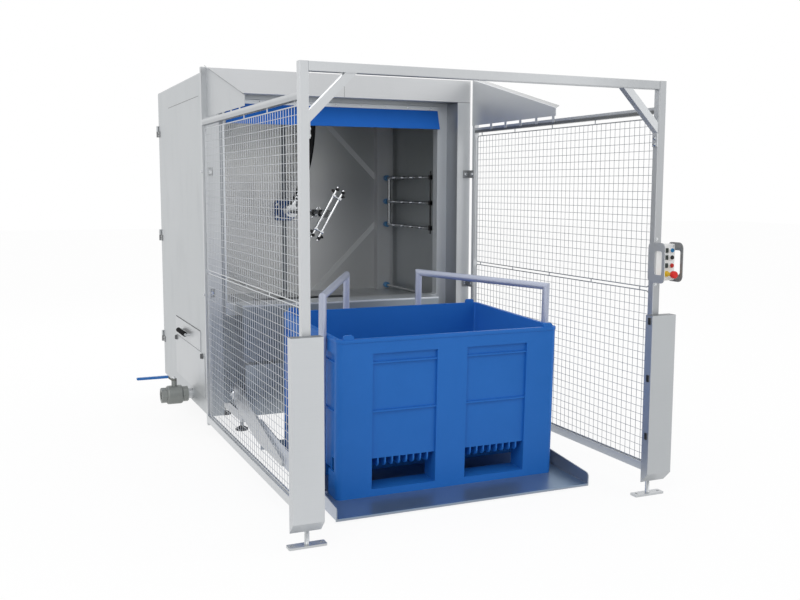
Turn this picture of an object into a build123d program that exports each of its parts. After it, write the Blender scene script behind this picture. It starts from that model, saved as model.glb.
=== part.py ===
import os
from math import cos, pi, radians, sin, tan

from build123d import *

os.makedirs("parts", exist_ok=True)

# Crate washer for pallet boxes: a cabinet with a tipping cradle in a fenced portal.
# Millimetres, +X to the right, +Y to the rear, +Z up, floor at 0.

# Reach of the whole machine from its mid-plane and its front face
left_reach = -1230.0
right_reach = 984.0
front_reach = -2020.0
rear_reach = 1512.0

# Where the mid-plane and the front face stand, with the origin under the middle
mid = -(left_reach + right_reach) / 2
face = -(front_reach + rear_reach) / 2

# Pallet box
crate_width = 1200.0
crate_depth = 880.0
crate_height = 800.0
crate_wall = 20.0
crate_recess = 14.0
crate_corner = 30.0
crate_floor = 205.0
crate_skid = 36.0
fork_top = 186.0
panel_top = 706.0
lug_height = 20.0

# Cabinet, measured from its front face, its mid-plane and the floor
cabinet_half = 880.0
cabinet_depth = 1500.0
cabinet_bottom = 135.0
cabinet_top = 2207.0
roof_top = 2182.0
skin = 6.0
fold = 4.0
jamb_inner = 788.0
lintel_bottom = 2069.0
lintel_depth = 60.0
recess = 160.0
opening_half = 719.0
opening_bottom = 800.0
opening_top = 2020.0
frame_lip = 65.0
chamber_floor_z = 726.0
chamber_rear = 1320.0

# Tipping cradle, measured from the pivot axis with the platform level
pivot_y = 95.0
pivot_z = 243.0
rest_lean = 2.0
shaft_radius = 30.0
running_gap = 0.05
deck_half = 683.0
deck_front = -1810.0
deck_rear = -535.0
deck_top = -159.0
deck_plate = 6.0
crate_front = -1592.0
flange_front = 54.0
flange_rear = 135.0
arm_plate = 12.0
hub_radius = 70.0
hoop_tube = 19.0
hoop_rise = 167.0
hoop_near_x = 622.0
hoop_near_y = crate_front + 157.0
hoop_far_x = 224.0
hoop_far_y = crate_front + crate_depth + 21.0

# Portal and fences
portal_front = -1934.0
tube = 40.0
post_x = 889.0
portal_top = 2020.0
post_bottom = 118.0
fence_tube = 30.0
fence_rear = -45.0
rail_bottom = 118.0
rail_height = 40.0
top_rail_z = 1870.0
wire = 3.5
wire_pitch = 38.0
mesh_front = -1884.0
mesh_rear = -85.0
mesh_gap_low = 1010.0
mesh_gap_high = 1036.0
mesh_top = 1852.0

# Rotating spray arm
spray_z = 1342.0
spray_y = 330.0
spray_turn = 30.0
spray_shaft_radius = 17.5
arm_half = 185.0

# Frames that the pieces are drawn in
machine = Location((mid, face, 0))
cradle = Location((mid, face + pivot_y, pivot_z), (rest_lean, 0, 0))
rotor = Location((mid, face + spray_y, spray_z), (0, spray_turn, 0))


def across(x, frame=machine):
    # Upright plane facing +X: its x runs to the rear and its y upwards
    return Plane(frame * Plane.YZ.offset(x).location)


def upright(y, frame=machine):
    # Upright plane facing the front: its x runs to the right and its y upwards
    return Plane(frame * Plane.XZ.offset(-y).location)


def level(z, frame=machine):
    # Flat plane facing up
    return Plane(frame * Plane.XY.offset(z).location)


def block(x, y, z, frame=machine, mode=Mode.ADD):
    # Box between pairs of limits
    centre = Location(((x[0] + x[1]) / 2, (y[0] + y[1]) / 2, (z[0] + z[1]) / 2))
    with Locations(frame * centre):
        Box(x[1] - x[0], y[1] - y[0], z[1] - z[0], mode=mode)


def rod(start, direction, radius, length, frame=machine, mode=Mode.ADD):
    # Round bar from a start point along a direction
    plane = Plane(origin=start, z_dir=direction)
    with Locations(frame * plane.location):
        Cylinder(radius, length, align=(Align.CENTER, Align.CENTER, Align.MIN), mode=mode)


def both(x0, x1):
    # The same limits on the left and on the right of the mid-plane
    return ((-x1, -x0), (x0, x1))


# Base frame: two rails, two cross tubes and the pedestals of the tilt bearings
rail_x = (617.0, 677.0)
rail_z = (75.0, cabinet_bottom)
cross_z = (cabinet_bottom, 195.0)
cross_front = (310.0, 370.0)
cross_rear = (1400.0, 1460.0)
pedestal_half = 70.0
pedestal_top = pivot_z - 50.0
panel_inside = cabinet_half - skin

with BuildPart() as base_frame:
    for x in both(*rail_x):
        block(x, (20.0, 1440.0), rail_z)
    for y in (cross_front, cross_rear):
        block((-panel_inside, panel_inside), y, cross_z)
    for x in both(610.0, 670.0):
        block(x, (pivot_y - pedestal_half, pivot_y + pedestal_half), (cabinet_bottom, pedestal_top))
base_frame.part.label = "base_frame"
export_step(base_frame.part, "parts/base_frame.step")

# Levelling feet: rubber pads on threaded spindles
pad_radius = 40.0
foot_spots = [machine * Location((x, y, 0)) for x in (-647.0, 647.0) for y in (130.0, 585.0, 1380.0)]
with BuildPart() as levelling_feet:
    with Locations(foot_spots):
        Cylinder(pad_radius, 10.0, align=(Align.CENTER, Align.CENTER, Align.MIN))
    with Locations([spot * Location((0, 0, 10.0)) for spot in foot_spots]):
        Cone(pad_radius, 16.0, 14.0, align=(Align.CENTER, Align.CENTER, Align.MIN))
    with Locations([spot * Location((0, 0, 24.0)) for spot in foot_spots]):
        Cylinder(10.0, rail_z[0] - 24.0, align=(Align.CENTER, Align.CENTER, Align.MIN))
levelling_feet.part.label = "levelling_feet"
export_step(levelling_feet.part, "parts/levelling_feet.step")

# Pillow blocks that carry the tilt shaft
bearing_width = 50.0
with BuildPart() as tilt_bearings:
    for x in (-665.0, 615.0):
        with BuildSketch(across(x)):
            with Locations((pivot_y, pivot_z)):
                Circle(48.0)
            with Locations((pivot_y, pedestal_top)):
                Rectangle(130.0, 26.0, align=(Align.CENTER, Align.MIN))
            with Locations((pivot_y, pivot_z)):
                Circle(shaft_radius + running_gap, mode=Mode.SUBTRACT)
        extrude(amount=bearing_width)
tilt_bearings.part.label = "tilt_bearings"
export_step(tilt_bearings.part, "parts/tilt_bearings.step")

# Shaft-mounted gearbox with its motor standing on it
gearbox_x = (-610.0, -450.0)
gearbox_size = (226.0, 290.0)
motor_foot = pivot_z + 40.0 + gearbox_size[1] / 2
with BuildPart() as tilt_gearmotor:
    with BuildSketch(across(gearbox_x[0])):
        with Locations((pivot_y, pivot_z + 40.0)):
            RectangleRounded(*gearbox_size, radius=50.0)
        with Locations((pivot_y, pivot_z)):
            Circle(shaft_radius + running_gap, mode=Mode.SUBTRACT)
    extrude(amount=gearbox_x[1] - gearbox_x[0])
    gear_mid = (gearbox_x[0] + gearbox_x[1]) / 2
    with BuildSketch(level(motor_foot)):
        with Locations((gear_mid, pivot_y)):
            Circle(60.0)
    extrude(amount=20.0)
    with BuildSketch(level(motor_foot + 20.0)):
        with Locations((gear_mid, pivot_y)):
            Circle(78.0)
    extrude(amount=190.0)
    fillet(tilt_gearmotor.faces().sort_by(Axis.Z)[-1].edges(), radius=20.0)
tilt_gearmotor.part.label = "tilt_gearmotor"
export_step(tilt_gearmotor.part, "parts/tilt_gearmotor.step")

# Side panels: sheets with a folded bottom edge
panel_y = (fold, cabinet_depth - skin)
panel_z = (cabinet_bottom, roof_top - skin)
drawer_cut_y = (318.0, 962.0)
drawer_cut_z = (516.0, 616.0)
hatch_cut_y = (96.0, 985.0)
hatch_cut_z = (245.0, 495.0)
drain_y = 500.0
drain_z = 180.0
drain_radius = 32.0
hem_width = 30.0
hem_y = (cross_front[1], cross_rear[0])
hem_z = (cabinet_bottom, cabinet_bottom + fold)
with BuildPart() as left_side_panel:
    block((-cabinet_half, -panel_inside), panel_y, panel_z)
    block((-panel_inside, -panel_inside + hem_width), hem_y, hem_z)
    block((-cabinet_half, -panel_inside), drawer_cut_y, drawer_cut_z, mode=Mode.SUBTRACT)
    block((-cabinet_half, -panel_inside), hatch_cut_y, hatch_cut_z, mode=Mode.SUBTRACT)
    rod((-cabinet_half, drain_y, drain_z), (1, 0, 0), drain_radius + 3.0, skin, mode=Mode.SUBTRACT)
left_side_panel.part.label = "left_side_panel"
export_step(left_side_panel.part, "parts/left_side_panel.step")

with BuildPart() as right_side_panel:
    block((panel_inside, cabinet_half), panel_y, panel_z)
    block((panel_inside - hem_width, panel_inside), hem_y, hem_z)
right_side_panel.part.label = "right_side_panel"
export_step(right_side_panel.part, "parts/right_side_panel.step")

# Roof sheet
with BuildPart() as roof_panel:
    block((-cabinet_half, cabinet_half), panel_y, (roof_top - skin, roof_top))
roof_panel.part.label = "roof_panel"
export_step(roof_panel.part, "parts/roof_panel.step")

# Front lintel: a folded channel over the doorway
with BuildPart() as front_lintel:
    with BuildSketch(across(-cabinet_half)):
        with BuildLine():
            Polyline(
                (lintel_depth, lintel_bottom),
                (0.0, lintel_bottom),
                (0.0, cabinet_top),
                (fold, cabinet_top),
                (fold, lintel_bottom + fold),
                (lintel_depth, lintel_bottom + fold),
                close=True,
            )
        make_face()
    extrude(amount=2 * cabinet_half)
    for x in both(panel_inside - 0.5, cabinet_half):
        block(x, (fold, lintel_depth), (lintel_bottom, lintel_bottom + fold), mode=Mode.SUBTRACT)
front_lintel.part.label = "front_lintel"
export_step(front_lintel.part, "parts/front_lintel.step")

# Door jambs: folded angles, the face strip and the return into the recess
joint_gap = 2.0
with BuildPart() as door_jambs:
    for side in (-1, 1):
        with BuildSketch(level(cabinet_bottom)):
            with BuildLine():
                Polyline(
                    (side * cabinet_half, 0.0),
                    (side * jamb_inner, 0.0),
                    (side * jamb_inner, recess),
                    (side * (jamb_inner + fold), recess),
                    (side * (jamb_inner + fold), fold),
                    (side * cabinet_half, fold),
                    close=True,
                )
            make_face()
        extrude(amount=lintel_bottom - joint_gap - cabinet_bottom)
door_jambs.part.label = "door_jambs"
export_step(door_jambs.part, "parts/door_jambs.step")

# Inner frame round the wash opening, with a lip turned into the chamber
opening_height = opening_top - opening_bottom
opening_mid = (opening_top + opening_bottom) / 2
frame_height = panel_z[1] - chamber_floor_z
frame_mid = (panel_z[1] + chamber_floor_z) / 2
with BuildPart() as inner_frame:
    with BuildSketch(upright(recess)):
        with Locations((0.0, frame_mid)):
            Rectangle(2 * panel_inside, frame_height)
        with Locations((0.0, opening_mid)):
            RectangleRounded(2 * opening_half, opening_height, radius=12.0, mode=Mode.SUBTRACT)
    extrude(amount=-skin)
    with BuildSketch(upright(recess + skin)):
        with Locations((0.0, opening_mid)):
            RectangleRounded(2 * (opening_half + fold), opening_height + 2 * fold, radius=12.0 + fold)
            RectangleRounded(2 * opening_half, opening_height, radius=12.0, mode=Mode.SUBTRACT)
    extrude(amount=-(frame_lip - skin))
inner_frame.part.label = "inner_frame"
export_step(inner_frame.part, "parts/inner_frame.step")

# Sill sheet with its apron, between the cradle arms
apron_bottom = 450.0
sill_half = 660.0
with BuildPart() as sill_plate:
    with BuildSketch(across(-sill_half)):
        with BuildLine():
            Polyline(
                (recess, opening_bottom),
                (fold, opening_bottom),
                (fold, apron_bottom),
                (fold + 5.0, apron_bottom),
                (fold + 5.0, opening_bottom - 5.0),
                (recess, opening_bottom - 5.0),
                close=True,
            )
        make_face()
    extrude(amount=2 * sill_half)
sill_plate.part.label = "sill_plate"
export_step(sill_plate.part, "parts/sill_plate.step")

# Panel behind the tilt shaft
with BuildPart() as lower_front_panel:
    block(
        (-panel_inside, panel_inside),
        (cross_front[0] - skin, cross_front[0]),
        (cabinet_bottom + 5.0, chamber_floor_z - skin),
    )
lower_front_panel.part.label = "lower_front_panel"
export_step(lower_front_panel.part, "parts/lower_front_panel.step")

# Wash chamber: floor with its drain well, and the rear wall
with BuildPart() as chamber_floor:
    block((-panel_inside, panel_inside), (recess, chamber_rear), (chamber_floor_z - skin, chamber_floor_z))
    with BuildSketch(level(chamber_floor_z)):
        with Locations((0.0, 780.0)):
            RectangleRounded(700.0, 420.0, radius=40.0)
    extrude(amount=-skin, mode=Mode.SUBTRACT)
chamber_floor.part.label = "chamber_floor"
export_step(chamber_floor.part, "parts/chamber_floor.step")

with BuildPart() as chamber_rear_wall:
    block(
        (-panel_inside, panel_inside),
        (chamber_rear, chamber_rear + skin),
        (chamber_floor_z - skin, panel_z[1]),
    )
chamber_rear_wall.part.label = "chamber_rear_wall"
export_step(chamber_rear_wall.part, "parts/chamber_rear_wall.step")

# Corner columns and slanted stays on the rear wall
column_x = (733.0, 842.0)
column_front = 1250.0
stay_width = 50.0
stay_upper = 1626.0
stay_lower = 1199.0
with BuildPart() as rear_wall_frame:
    for x in both(*column_x):
        block(x, (column_front, chamber_rear), (chamber_floor_z, panel_z[1]))
    for x in both(column_x[1], panel_inside):
        block(x, (chamber_rear - 40.0, chamber_rear), (chamber_floor_z, panel_z[1]))
    for side in (-1, 1):
        with BuildSketch(upright(chamber_rear)):
            for start, end in ((stay_upper, panel_z[1]), (stay_lower, chamber_floor_z)):
                way = 1 if end > start else -1
                run = abs(end - start)
                with BuildLine():
                    Polyline(
                        (side * column_x[0], start),
                        (side * column_x[0], start - way * stay_width),
                        (side * (column_x[0] - run - stay_width), end),
                        (side * (column_x[0] - run), end),
                        close=True,
                    )
                make_face()
        extrude(amount=10.0)
rear_wall_frame.part.label = "rear_wall_frame"
export_step(rear_wall_frame.part, "parts/rear_wall_frame.step")

# Wash tank under the chamber, open at the top, with two runners for the filter drawer
tank_x = 640.0
tank_y = (372.0, 1280.0)
tank_top = 490.0
tank_sheet = 5.0
drawer_bottom = 520.0
with BuildPart() as wash_tank:
    block((-tank_x, tank_x), tank_y, (cabinet_bottom, tank_top))
    block(
        (-tank_x + tank_sheet, tank_x - tank_sheet),
        (tank_y[0] + tank_sheet, tank_y[1] - tank_sheet),
        (cabinet_bottom + tank_sheet, tank_top),
        mode=Mode.SUBTRACT,
    )
    for y in ((400.0, 430.0), (900.0, 930.0)):
        block((-tank_x, tank_x), y, (tank_top, drawer_bottom - 0.5))
wash_tank.part.label = "wash_tank"
export_step(wash_tank.part, "parts/wash_tank.step")

# Wash pump behind the tank: volute, motor and foot
pump_y = 1385.0
pump_z = 300.0
with BuildPart() as wash_pump:
    rod((120.0, pump_y, pump_z), (1, 0, 0), 92.0, 70.0)
    rod((190.0, pump_y, pump_z), (1, 0, 0), 80.0, 230.0)
    rod((90.0, pump_y, pump_z), (1, 0, 0), 38.0, 30.0)
    block((200.0, 400.0), (pump_y + 15.0, pump_y + 65.0), (cross_z[1], pump_z))
wash_pump.part.label = "wash_pump"
export_step(wash_pump.part, "parts/wash_pump.step")

# Side spray pipes: three bars with nozzles, a riser and a front strut, and a floor pipe
pipe_x = 803.0
pipe_radius = 11.0
pipe_heights = (1588.0, 1408.0, 1232.0)
pipe_front = 428.0
floor_pipe_z = 758.0
riser_y = 1182.0
nozzle_spots = (560.0, 720.0, 880.0, 1040.0)
with BuildPart() as side_spray_pipes:
    for z in pipe_heights:
        rod((pipe_x, pipe_front, z), (0, 1, 0), pipe_radius, column_front - pipe_front)
        for y in nozzle_spots:
            rod((pipe_x, y, z), (-1, 0, 0), 6.0, 28.0)
    rod((pipe_x, riser_y, pipe_heights[-1]), (0, 0, 1), 13.0, pipe_heights[0] - pipe_heights[-1])
    rod((pipe_x, pipe_front + 12.0, pipe_heights[-1] - 40.0), (0, 0, 1), 6.0, 440.0)
    rod((pipe_x, 500.0, floor_pipe_z), (0, 1, 0), pipe_radius, column_front - 500.0)
    mirror(about=across(0))
side_spray_pipes.part.label = "side_spray_pipes"
export_step(side_spray_pipes.part, "parts/side_spray_pipes.step")

# Blue couplings where the pipes meet the columns
coupling_length = 40.0
with BuildPart() as pipe_couplings:
    for z in (*pipe_heights, floor_pipe_z):
        with BuildSketch(upright(column_front)):
            with Locations((-pipe_x, z), (pipe_x, z)):
                RegularPolygon(22.0, 8)
            with Locations((-pipe_x, z), (pipe_x, z)):
                Circle(pipe_radius + 0.1, mode=Mode.SUBTRACT)
        extrude(amount=coupling_length)
pipe_couplings.part.label = "pipe_couplings"
export_step(pipe_couplings.part, "parts/pipe_couplings.step")

# Bearing of the spray shaft on the rear wall
shaft_rear = 1300.0
housing_front = 1215.0
shaft_bore = spray_shaft_radius + running_gap
with BuildPart() as bearing_housing:
    with BuildSketch(upright(chamber_rear)):
        with Locations((0.0, spray_z)):
            RectangleRounded(150.0, 150.0, radius=25.0)
    extrude(amount=24.0)
    rod((0.0, chamber_rear - 24.0, spray_z), (0, -1, 0), 56.0, chamber_rear - 24.0 - housing_front)
    bore_length = shaft_rear + 2.0 - housing_front
    rod((0.0, housing_front, spray_z), (0, 1, 0), shaft_bore, bore_length, mode=Mode.SUBTRACT)
bearing_housing.part.label = "bearing_housing"
export_step(bearing_housing.part, "parts/bearing_housing.step")

# Feed hose from the roof down to the rotary union, held at both ends
hose_radius = 25.0
hose_y = 1150.0
hose_route = [
    (175.0, panel_z[1]),
    (175.0, 2030.0),
    (171.0, 1900.0),
    (153.0, 1760.0),
    (122.0, 1630.0),
    (84.0, 1520.0),
    (40.0, 1424.0),
]
hose_points = [Vector(mid + x, face + hose_y, z) for x, z in hose_route]
hose_radii = []
for before, corner, after in zip(hose_points, hose_points[1:], hose_points[2:]):
    turn = (corner - before).get_angle(after - corner)
    shorter = min((corner - before).length, (after - corner).length)
    hose_radii.append(0.45 * shorter / tan(radians(turn / 2)))
print("hose radii", [round(radius) for radius in hose_radii])
with BuildPart() as feed_hose:
    with BuildLine() as hose_line:
        FilletPolyline(*hose_points, radius=hose_radii)
    with BuildSketch(Plane(origin=hose_points[0], z_dir=hose_points[1] - hose_points[0])):
        Circle(hose_radius)
    sweep(path=hose_line.wires()[0])
hose_length = hose_line.wires()[0].length
hose_fill = feed_hose.part.volume / (pi * hose_radius**2 * hose_length)
print("hose length", round(hose_length), "volume ratio", round(hose_fill, 4))
feed_hose.part.label = "feed_hose"
export_step(feed_hose.part, "parts/feed_hose.step")

# Rotary union: body round the spray shaft, gland, and the tail that takes the hose
union_front = 1111.0
tail_run = hose_points[-2] - hose_points[-1]
tail_foot_x = hose_route[-1][0] - (hose_route[-1][1] - spray_z) * tail_run.X / tail_run.Z
tail_length = (hose_route[-1][1] - spray_z) * tail_run.length / tail_run.Z
with BuildPart() as rotary_union:
    rod((0.0, housing_front, spray_z), (0, -1, 0), 46.0, housing_front - union_front)
    rod((0.0, union_front, spray_z), (0, -1, 0), 32.0, 16.0)
    rod((tail_foot_x, hose_y, spray_z), tail_run, 25.0, tail_length)
    rod((tail_foot_x, hose_y, spray_z), tail_run, 33.0, tail_length - 22.0)
    rod((0.0, union_front - 16.0, spray_z), (0, 1, 0), shaft_bore, 200.0, mode=Mode.SUBTRACT)
rotary_union.part.label = "rotary_union"
export_step(rotary_union.part, "parts/rotary_union.step")

# Rubber splash curtain, held against the inner frame by a clamp bar
curtain_half = 716.0
curtain_sheet = 6.0
curtain_top = opening_top + 28.0
curtain_bottom = 1898.0
curtain_lean = 36.0
curtain_front = recess - curtain_sheet
with BuildPart() as splash_curtain:
    with BuildSketch(across(-curtain_half)):
        with BuildLine():
            Polyline(
                (recess, curtain_top),
                (curtain_front, curtain_top),
                (curtain_front, opening_top),
                (curtain_front - curtain_lean, curtain_bottom),
                (recess - curtain_lean, curtain_bottom),
                (recess, opening_top),
                close=True,
            )
        make_face()
    extrude(amount=2 * curtain_half)
splash_curtain.part.label = "splash_curtain"
export_step(splash_curtain.part, "parts/splash_curtain.step")

clamp_bar = 8.0
with BuildPart() as curtain_clamp:
    clamp_y = (curtain_front - clamp_bar, curtain_front)
    block((-curtain_half, curtain_half), clamp_y, (opening_top, curtain_top))
    chamfer(curtain_clamp.edges().filter_by(Axis.X).group_by(Axis.Y)[0], length=2.0)
curtain_clamp.part.label = "curtain_clamp"
export_step(curtain_clamp.part, "parts/curtain_clamp.step")

# Drain: pipe from the tank and a ball valve with a neck for its stem
valve_x = -995.0
valve_half = 85.0
valve_core = 51.0
valve_radius = 60.0
valve_end = 50.0
drain_bore = 27.0
pipe_run = -tank_x - valve_x - valve_half
neck_radius = 17.0
neck_top = 272.0
stem_low = 250.0
stem_radius = 9.0
stem_hole = stem_radius + running_gap
with BuildPart() as drain_pipe:
    rod((valve_x + valve_half, drain_y, drain_z), (1, 0, 0), drain_radius, pipe_run)
    rod((valve_x + valve_half, drain_y, drain_z), (1, 0, 0), drain_bore + 1.0, pipe_run, mode=Mode.SUBTRACT)
drain_pipe.part.label = "drain_pipe"
export_step(drain_pipe.part, "parts/drain_pipe.step")

with BuildPart() as drain_valve:
    rod((valve_x - valve_core, drain_y, drain_z), (1, 0, 0), valve_radius, 2 * valve_core)
    fillet(drain_valve.edges().filter_by(GeomType.CIRCLE), radius=14.0)
    for x in (valve_x - valve_half, valve_x + valve_core):
        with BuildSketch(across(x)):
            with Locations((drain_y, drain_z)):
                RegularPolygon(valve_end, 8)
        extrude(amount=valve_half - valve_core)
    rod((valve_x, drain_y, drain_z), (0, 0, 1), neck_radius, neck_top - drain_z)
    hole_low = stem_low - 1.0
    rod((valve_x, drain_y, hole_low), (0, 0, 1), stem_hole, neck_top - hole_low, mode=Mode.SUBTRACT)
    rod((valve_x - valve_half, drain_y, drain_z), (1, 0, 0), drain_bore, 2 * valve_half, mode=Mode.SUBTRACT)
drain_valve.part.label = "drain_valve"
export_step(drain_valve.part, "parts/drain_valve.step")

# Lever: the stem in the neck, a hub, and a bar that steps up to a sleeved grip
lever_z = neck_top + 0.5
lever_width = 22.0
grip_start = valve_x - 36.0
grip_z = (292.0, 307.0)
with BuildPart() as valve_lever:
    rod((valve_x, drain_y, stem_low), (0, 0, 1), stem_radius, lever_z - stem_low)
    rod((valve_x, drain_y, lever_z), (0, 0, 1), neck_radius, 14.0)
    with BuildSketch(upright(drain_y - lever_width / 2)):
        with BuildLine():
            Polyline(
                (valve_x, lever_z + 3.0),
                (valve_x - 20.0, lever_z + 3.0),
                (grip_start - 4.0, grip_z[0]),
                (left_reach, grip_z[0]),
                (left_reach, grip_z[1]),
                (grip_start, grip_z[1]),
                (valve_x - 16.0, lever_z + 11.0),
                (valve_x, lever_z + 11.0),
                close=True,
            )
        lever = make_face()
        fillet(lever.vertices().group_by(Axis.X)[0], radius=6.0)
    extrude(amount=-lever_width)
valve_lever.part.label = "valve_lever"
export_step(valve_lever.part, "parts/valve_lever.step")

# Filter drawer: front plate with a bar handle, and an open tray
drawer_front_y = (195.0, 995.0)
drawer_front_z = (506.0, 628.0)
tray_y = (322.0, 958.0)
tray_z = (drawer_bottom, 612.0)
tray_end = -300.0
tray_sheet = 4.0
handle_y = (500.0, 760.0)
handle_z = 566.0
with BuildPart() as filter_drawer:
    block((-cabinet_half - fold, -cabinet_half), drawer_front_y, drawer_front_z)
    block((-cabinet_half, tray_end), tray_y, tray_z)
    block(
        (-cabinet_half + tray_sheet, tray_end - tray_sheet),
        (tray_y[0] + tray_sheet, tray_y[1] - tray_sheet),
        (tray_z[0] + tray_sheet, tray_z[1]),
        mode=Mode.SUBTRACT,
    )
    with BuildSketch(level(drawer_bottom)):
        with Locations(((-cabinet_half + tray_end) / 2, (tray_y[0] + tray_y[1]) / 2)):
            with GridLocations(90.0, 150.0, 5, 4):
                SlotOverall(120.0, 20.0, rotation=90)
    extrude(amount=tray_sheet, mode=Mode.SUBTRACT)
    for y in handle_y:
        rod((-cabinet_half - fold, y, handle_z), (-1, 0, 0), 6.0, 30.0)
    bar_start = (-cabinet_half - fold - 30.0, handle_y[0] - 10.0, handle_z)
    rod(bar_start, (0, 1, 0), 9.0, handle_y[1] - handle_y[0] + 20.0)
filter_drawer.part.label = "filter_drawer"
export_step(filter_drawer.part, "parts/filter_drawer.step")

# Lower hatch with holes for its two quarter-turn latches
hatch_y = (82.0, 1000.0)
hatch_z = (232.0, 502.0)
latch_z = 484.0
latch_spots = {"front_latch": 134.0, "rear_latch": 958.0}
latch_stem = 6.0
hatch_outside = -cabinet_half - fold
with BuildPart() as lower_hatch:
    block((hatch_outside, -cabinet_half), hatch_y, hatch_z)
    fillet(lower_hatch.edges().filter_by(Axis.X), radius=12.0)
    for y in latch_spots.values():
        rod((hatch_outside, y, latch_z), (1, 0, 0), latch_stem + running_gap, fold, mode=Mode.SUBTRACT)
lower_hatch.part.label = "lower_hatch"
export_step(lower_hatch.part, "parts/lower_hatch.step")

# Quarter-turn latches: knob with a wing, stem, and a cam behind the panel
for latch_name, y in latch_spots.items():
    with BuildPart() as latch:
        rod((hatch_outside - 0.3, y, latch_z), (-1, 0, 0), 17.0, 7.0)
        wing_x = (hatch_outside - 15.3, hatch_outside - 7.3)
        block(wing_x, (y - 4.0, y + 4.0), (latch_z - 14.0, latch_z + 14.0))
        rod((hatch_outside - 0.3, y, latch_z), (1, 0, 0), latch_stem, 15.3)
        cam_x = (-panel_inside + 1.0, -panel_inside + 5.0)
        block(cam_x, (y - 7.0, y + 7.0), (latch_z - 8.0, latch_z + 34.0))
    latch.part.label = latch_name
    export_step(latch.part, f"parts/{latch_name}.step")

# Rear service door on three lift-off hinges
hinge_x = -888.0
hinge_y = 1504.0
hinge_heights = (1912.0, 1165.0, 418.0)
knuckle_radius = 8.0
pin_radius = 4.0
knuckle_length = 40.0
with BuildPart() as rear_hinges:
    for z in hinge_heights:
        block((-cabinet_half - skin, -cabinet_half), (1440.0, hinge_y), (z - knuckle_length, z))
        rod((hinge_x, hinge_y, z - knuckle_length), (0, 0, 1), knuckle_radius, knuckle_length)
        rod((hinge_x, hinge_y, z), (0, 0, 1), pin_radius, knuckle_length - 6.0)
rear_hinges.part.label = "rear_hinges"
export_step(rear_hinges.part, "parts/rear_hinges.step")

door_x = (-868.0, 868.0)
door_z = (cabinet_bottom + 25.0, panel_z[1] - 20.0)
door_fold = 18.0
door_back = cabinet_depth
pull_x = (740.0, 800.0)
pull_z = (1040.0, 1200.0)
pull_depth = 18.0
with BuildPart() as service_door:
    block(door_x, (door_back - skin - door_fold, door_back), door_z)
    block(
        (door_x[0] + fold, door_x[1] - fold),
        (door_back - skin - door_fold, door_back - skin),
        (door_z[0] + fold, door_z[1] - fold),
        mode=Mode.SUBTRACT,
    )
    for z in hinge_heights:
        block((hinge_x, door_x[0] + 50.0), (door_back, hinge_y + 2.0), (z + 0.5, z + knuckle_length))
        rod((hinge_x, hinge_y, z + 0.5), (0, 0, 1), knuckle_radius, knuckle_length - 0.5)
        pin_hole = pin_radius + running_gap
        rod((hinge_x, hinge_y, z), (0, 0, 1), pin_hole, knuckle_length - 5.0, mode=Mode.SUBTRACT)
    block(
        (pull_x[0] - 3.0, pull_x[1] + 3.0),
        (door_back - pull_depth - 3.0, door_back - skin),
        (pull_z[0] - 3.0, pull_z[1] + 3.0),
    )
    block(pull_x, (door_back - pull_depth, door_back), pull_z, mode=Mode.SUBTRACT)
service_door.part.label = "service_door"
export_step(service_door.part, "parts/service_door.step")

# Fences: welded frames, mesh panels, clamps to the cabinet and wing plates
fence_in = post_x - fence_tube / 2
fence_out = post_x + fence_tube / 2
fence_post_y = (fence_rear - fence_tube, fence_rear)
portal_rear = portal_front + tube
rail_y = (portal_rear, fence_post_y[0])
mesh_length = mesh_rear - mesh_front
mesh_middle = (mesh_rear + mesh_front) / 2
upright_wires = round(mesh_length / wire_pitch)
mesh_panels = ((rail_bottom + rail_height, mesh_gap_low), (mesh_gap_high, mesh_top))
link_spots = 5
link_pitch = mesh_length / link_spots
upper_link = top_rail_z - mesh_top + wire
middle_link = mesh_gap_high - mesh_gap_low + 2 * wire
border_corner = 40.0
border_inner = border_corner - 2 * wire
layer_gap = 0.02
upright_z = (100.0, 2200.0)

for side, side_name in ((-1, "left"), (1, "right")):
    limits = both(fence_in, fence_out)[(side + 1) // 2]

    with BuildPart() as fence_frame:
        block(limits, fence_post_y, upright_z)
        block(limits, rail_y, (rail_bottom, rail_bottom + rail_height))
        block(limits, rail_y, (top_rail_z, top_rail_z + fence_tube))
    fence_frame.part.label = f"{side_name}_fence_frame"
    export_step(fence_frame.part, f"parts/{side_name}_fence_frame.step")

    # Each panel is a layer of upright wires against a layer of level wires
    with BuildPart() as mesh:
        for low, high in mesh_panels:
            height = high - low
            middle = (low + high) / 2
            level_wires = round(height / wire_pitch)
            inside = (mesh_length - 4 * wire, height - 4 * wire)
            with BuildSketch(across(side * (post_x + layer_gap))):
                with Locations((mesh_middle, middle)):
                    RectangleRounded(mesh_length, height, radius=border_corner)
                    RectangleRounded(*inside, radius=border_inner, mode=Mode.SUBTRACT)
                    with GridLocations(mesh_length / upright_wires, 0, upright_wires - 1, 1):
                        Rectangle(wire, height - 2 * wire)
                if high == mesh_top:
                    with Locations((mesh_middle, mesh_top - wire)):
                        with GridLocations(link_pitch, 0, link_spots, 1):
                            Rectangle(2 * wire, upper_link, align=(Align.CENTER, Align.MIN))
                    with Locations((mesh_middle, mesh_gap_low - wire)):
                        with GridLocations(link_pitch, 0, link_spots, 1):
                            Rectangle(2 * wire, middle_link, align=(Align.CENTER, Align.MIN))
            extrude(amount=side * wire)
            with BuildSketch(across(side * post_x)):
                with Locations((mesh_middle, middle)):
                    RectangleRounded(mesh_length, height, radius=border_corner)
                    RectangleRounded(*inside, radius=border_inner, mode=Mode.SUBTRACT)
                    with GridLocations(0, height / level_wires, 1, level_wires - 1):
                        Rectangle(mesh_length - 2 * wire, wire)
            extrude(amount=-side * wire)
    mesh.part.label = f"{side_name}_mesh_panels"
    export_step(mesh.part, f"parts/{side_name}_mesh_panels.step")

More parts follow.
